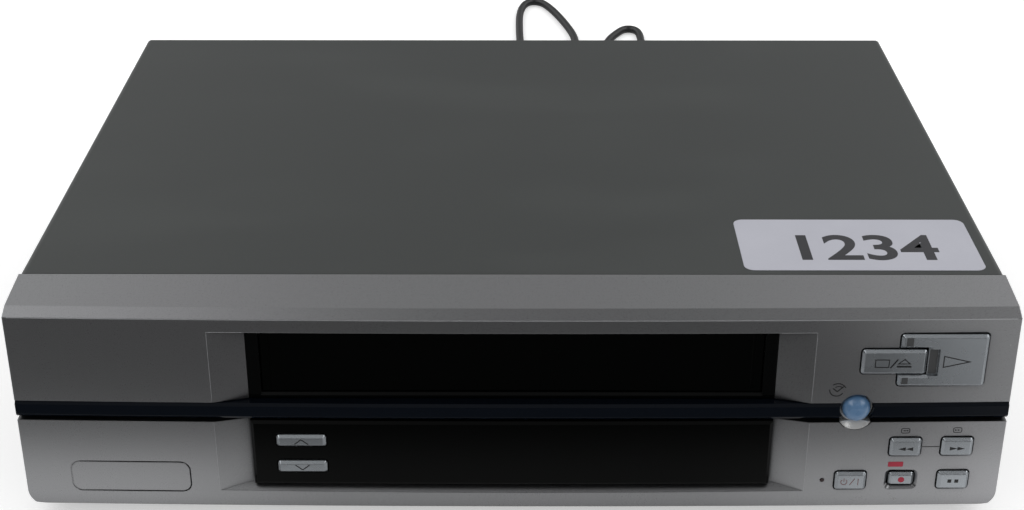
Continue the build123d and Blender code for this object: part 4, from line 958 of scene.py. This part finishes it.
# %% Sockets
EURO_SOCKETS_X = (-88.0, -32.0)
CONTACT_ROWS = ((-0.6, 20.9), (0.6, 22.7))
CONTACTS, CONTACT_PITCH, CONTACT_HEIGHT = 10, 3.6, 0.15
AERIAL_Z = 27.0
AERIALS = {
    "aerial_pin": (-140.0, [(0.0, -8.0), (1.15, -8.0), (1.15, -1.4), (0.7, -0.8), (0.0, -0.6)]),
    "aerial_tube": (-166.0, [(0.0, -7.9), (1.9, -7.9), (1.9, -1.2), (1.2, -1.2), (1.2, -7.0), (0.0, -7.0)]),
}
insert_rear_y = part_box("euro_sockets")[1][1] / MM - 1.0
shape = bmesh.new()
for socket_x in EURO_SOCKETS_X:
    for shift, z in CONTACT_ROWS:
        for contact in range(CONTACTS):
            x = socket_x + (contact - (CONTACTS - 1) / 2) * CONTACT_PITCH + shift
            box_plate(shape, 1.9, 0.5, -x, z)
thicken(shape, CONTACT_HEIGHT)
bmesh.ops.transform(shape, matrix=at(0, insert_rear_y, 0, FACING_REAR), verts=shape.verts)
link("socket_contacts", shape, "bronze", "chassis")

aerial_rear_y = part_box("tuner_module")[1][1] / MM
for name, (x, profile) in AERIALS.items():
    shape = bmesh.new()
    lathe(shape, profile, 20)
    bmesh.ops.transform(shape, matrix=at(x, aerial_rear_y, AERIAL_Z, FACING_REAR), verts=shape.verts)
    link(name, shape, "nickel", "chassis")

# %% [markdown]
# ## The sticker
# A stock sticker lies on the cover near its front right corner: a pale label with rounded corners.

# %% Sticker
STICKER_X, STICKER_Y = (90.2 * MM, 184.0 * MM), (-114.5 * MM, -70.0 * MM)
STICKER_CORNER = 4.0 * MM
STICKER_THICKNESS = 0.12 * MM
cover_top = cover_high[2]
sticker_middle = Vector((sum(STICKER_X) / 2, sum(STICKER_Y) / 2, cover_top))
shape = bmesh.new()
bmesh.ops.create_grid(shape, x_segments=1, y_segments=1, size=0.5)
bmesh.ops.scale(shape, verts=shape.verts,
                vec=(STICKER_X[1] - STICKER_X[0], STICKER_Y[1] - STICKER_Y[0], 1))
bmesh.ops.translate(shape, verts=shape.verts, vec=sticker_middle)
bmesh.ops.bevel(shape, geom=list(shape.verts), offset=STICKER_CORNER, segments=8, profile=0.5,
                affect="VERTICES", material=-1)
thicken(shape, STICKER_THICKNESS)
link("stock_sticker", shape, "sticker_paper", "chassis")

# %% [markdown]
# It carries a plain number in heavy figures, set once as text and then stretched to its printed size.

# %% Stock number
NUMBER_SIZE = (55 * MM, 22 * MM)
NUMBER_SHIFT = Vector((1.5 * MM, -4 * MM, STICKER_THICKNESS + 0.02 * MM))
number = bpy.data.curves.new("stock_number", "FONT")
number.body = "1234"
number.size = 26 * MM
number.align_x = "CENTER"
number.align_y = "CENTER"
number.offset = 0.5 * MM
number.extrude = 0.02 * MM
written = add_object("stock_number_text", number)
bpy.context.view_layer.update()
figures = bpy.data.meshes.new_from_object(written)
bpy.data.objects.remove(written)
span = [max(v.co[axis] for v in figures.vertices) - min(v.co[axis] for v in figures.vertices)
        for axis in (0, 1)]
figures.transform(Matrix.Diagonal((NUMBER_SIZE[0] / span[0], NUMBER_SIZE[1] / span[1], 1, 1)))
figures.transform(Matrix.Translation(sticker_middle + NUMBER_SHIFT))
figures.materials.clear()
figures.materials.append(finishes["sticker_ink"])
stock_number = add_object("stock_number", figures)
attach(stock_number, "chassis")
print("stock_number", len(figures.vertices), "vertices on chassis")

# %% [markdown]
# ## The cord's first point
# The cord is a medium-stiff mains lead that lies loose and ends in its plug. The first point of its
# route is worked out in metres.

[value * MM for value in CORD_ROUTE[0]]

# %% [markdown]
# ## Floor
# The floor looks white to the camera through its emission, and still takes the soft shadow. Satin metal
# mirrors it, so mirror rays see a second floor: dark far out, with a pale sweep right under the front,
# paler at both sides, and another to the right of the case. They give the silver face its fade from
# dark at the top to light at the bottom.

# %% Floor
FLOOR_GREY = (0.82, 0.82, 0.82)
MIRRORED_GREY = (0.04, 0.04, 0.04)
FLOOR_HALF_SIZE, FLOOR_DROP = 6.0, 0.0002
CAMERA_GLOW = 0.45
FAR_GLOW, NEAR_GLOW, SIDE_GLOW, RIGHT_GLOW = 0.04, 0.36, 0.20, 0.36
floor_material = bpy.data.materials.new("studio_floor")
floor_material.use_nodes = True
floor_tree = floor_material.node_tree
place = Wire(floor_tree).node("ShaderNodeTexCoord", output="Object")
sideways, backwards = [place.node("ShaderNodeSeparateXYZ", None, {"Vector": place}, axis)
                       for axis in (0, 1)]
camera_rays = place.node("ShaderNodeLightPath", output="Is Camera Ray")
mirror_rays = place.node("ShaderNodeLightPath", output="Is Glossy Ray")
near = between(backwards, -0.226, -0.170)
right = between(sideways, 0.15, 0.24)
wide = between(abs(sideways), 0.06, 0.16)
shader = floor_tree.nodes["Principled BSDF"]
shader.inputs["Roughness"].default_value = 0.9
floor_colour = blend(mirror_rays, FLOOR_GREY, MIRRORED_GREY)
floor_tree.links.new(floor_colour.socket, shader.inputs["Base Color"])
mirrored_floor = near * (NEAR_GLOW + wide * SIDE_GLOW) + right * RIGHT_GLOW + FAR_GLOW
glow = camera_rays * CAMERA_GLOW + mirror_rays * mirrored_floor
floor_tree.links.new(glow.socket, shader.inputs["Emission Strength"])
shader.inputs["Emission Color"].default_value = (1, 1, 1, 1)
shape = bmesh.new()
bmesh.ops.create_grid(shape, x_segments=1, y_segments=1, size=FLOOR_HALF_SIZE)
floor = add_object("studio_floor", to_mesh("studio_floor", shape))
floor.data.materials.append(floor_material)
floor.location.z = -FLOOR_DROP
print("floor at", floor.location.z, "m")

# %% [markdown]
# ## World
# The world is white to the camera and lights everything evenly. Mirror rays see a studio instead: a dim
# wall behind, brighter to its sides, a ceiling that is bright on the left and less so on the right, a
# soft patch high in front, and two bright upper corners that glint on bevels.

# %% World
EVEN_LIGHT = 0.56
WALL, WALL_RISE, WALL_SIDES = 0.05, 0.27, 0.24
CEILING, CEILING_LEFT, CEILING_RIGHT = 0.12, 0.62, 0.16
FRONT_TOP, CORNERS = 0.22, 2.2
world = bpy.data.worlds.new("studio")
world.use_nodes = True
bpy.context.scene.world = world
background = world.node_tree.nodes["Background"]
sky = Wire(world.node_tree)
camera_ray = sky.node("ShaderNodeLightPath", output="Is Camera Ray")
glossy_ray = sky.node("ShaderNodeLightPath", output="Is Glossy Ray")
direction = sky.node("ShaderNodeTexCoord", output="Generated")
east, north, height = [direction.node("ShaderNodeSeparateXYZ", None, {"Vector": direction}, axis)
                       for axis in range(3)]
west, south = 0.0 - east, 0.0 - north
behind = WALL + between(north, 0.1, 0.7) * (WALL_RISE + between(abs(east), 0.08, 0.32) * WALL_SIDES)
overhead = CEILING + between(west, 0.05, 0.3) * CEILING_LEFT + between(east, 0.05, 0.3) * CEILING_RIGHT
top = between(height, 0.72, 0.9)
front_top = between(south, 0.15, 0.45) * between(height, 0.4, 0.7) * FRONT_TOP
corners = between(abs(east), 0.45, 0.6) * between(height, 0.35, 0.6) * CORNERS
mirrored = behind * (1.0 - top) + overhead * top + front_top + corners
strength = EVEN_LIGHT + camera_ray * (1.0 - EVEN_LIGHT) + glossy_ray * (mirrored - EVEN_LIGHT)
world.node_tree.links.new(strength.socket, background.inputs["Strength"])
background.inputs["Color"].default_value = (1, 1, 1, 1)
print("world strength", EVEN_LIGHT)

# %% [markdown]
# ## Lamps
# Two wide soft lamps stand high on the left and the right and shape the dull surfaces. They are hidden
# from mirror rays, because the world already draws what the metal reflects.

# %% Lamps
LAMP_WIDTH, LAMP_DEPTH, LAMP_POWER = 1.0, 1.6, 9


def softbox(name, place_at):
    """A rectangular lamp that faces the recorder."""
    lamp_data = bpy.data.lights.new(name, "AREA")
    lamp_data.shape = "RECTANGLE"
    lamp_data.size = LAMP_WIDTH
    lamp_data.size_y = LAMP_DEPTH
    lamp_data.energy = LAMP_POWER
    lamp = add_object(name, lamp_data)
    lamp.visible_glossy = False
    lamp.location = place_at
    lamp.rotation_euler = (-Vector(place_at)).to_track_quat("-Z", "Y").to_euler()
    print(name, "at", place_at)


softbox("left_panel", (-1.3, 0.5, 1.5))
softbox("right_panel", (1.3, 0.4, 1.5))
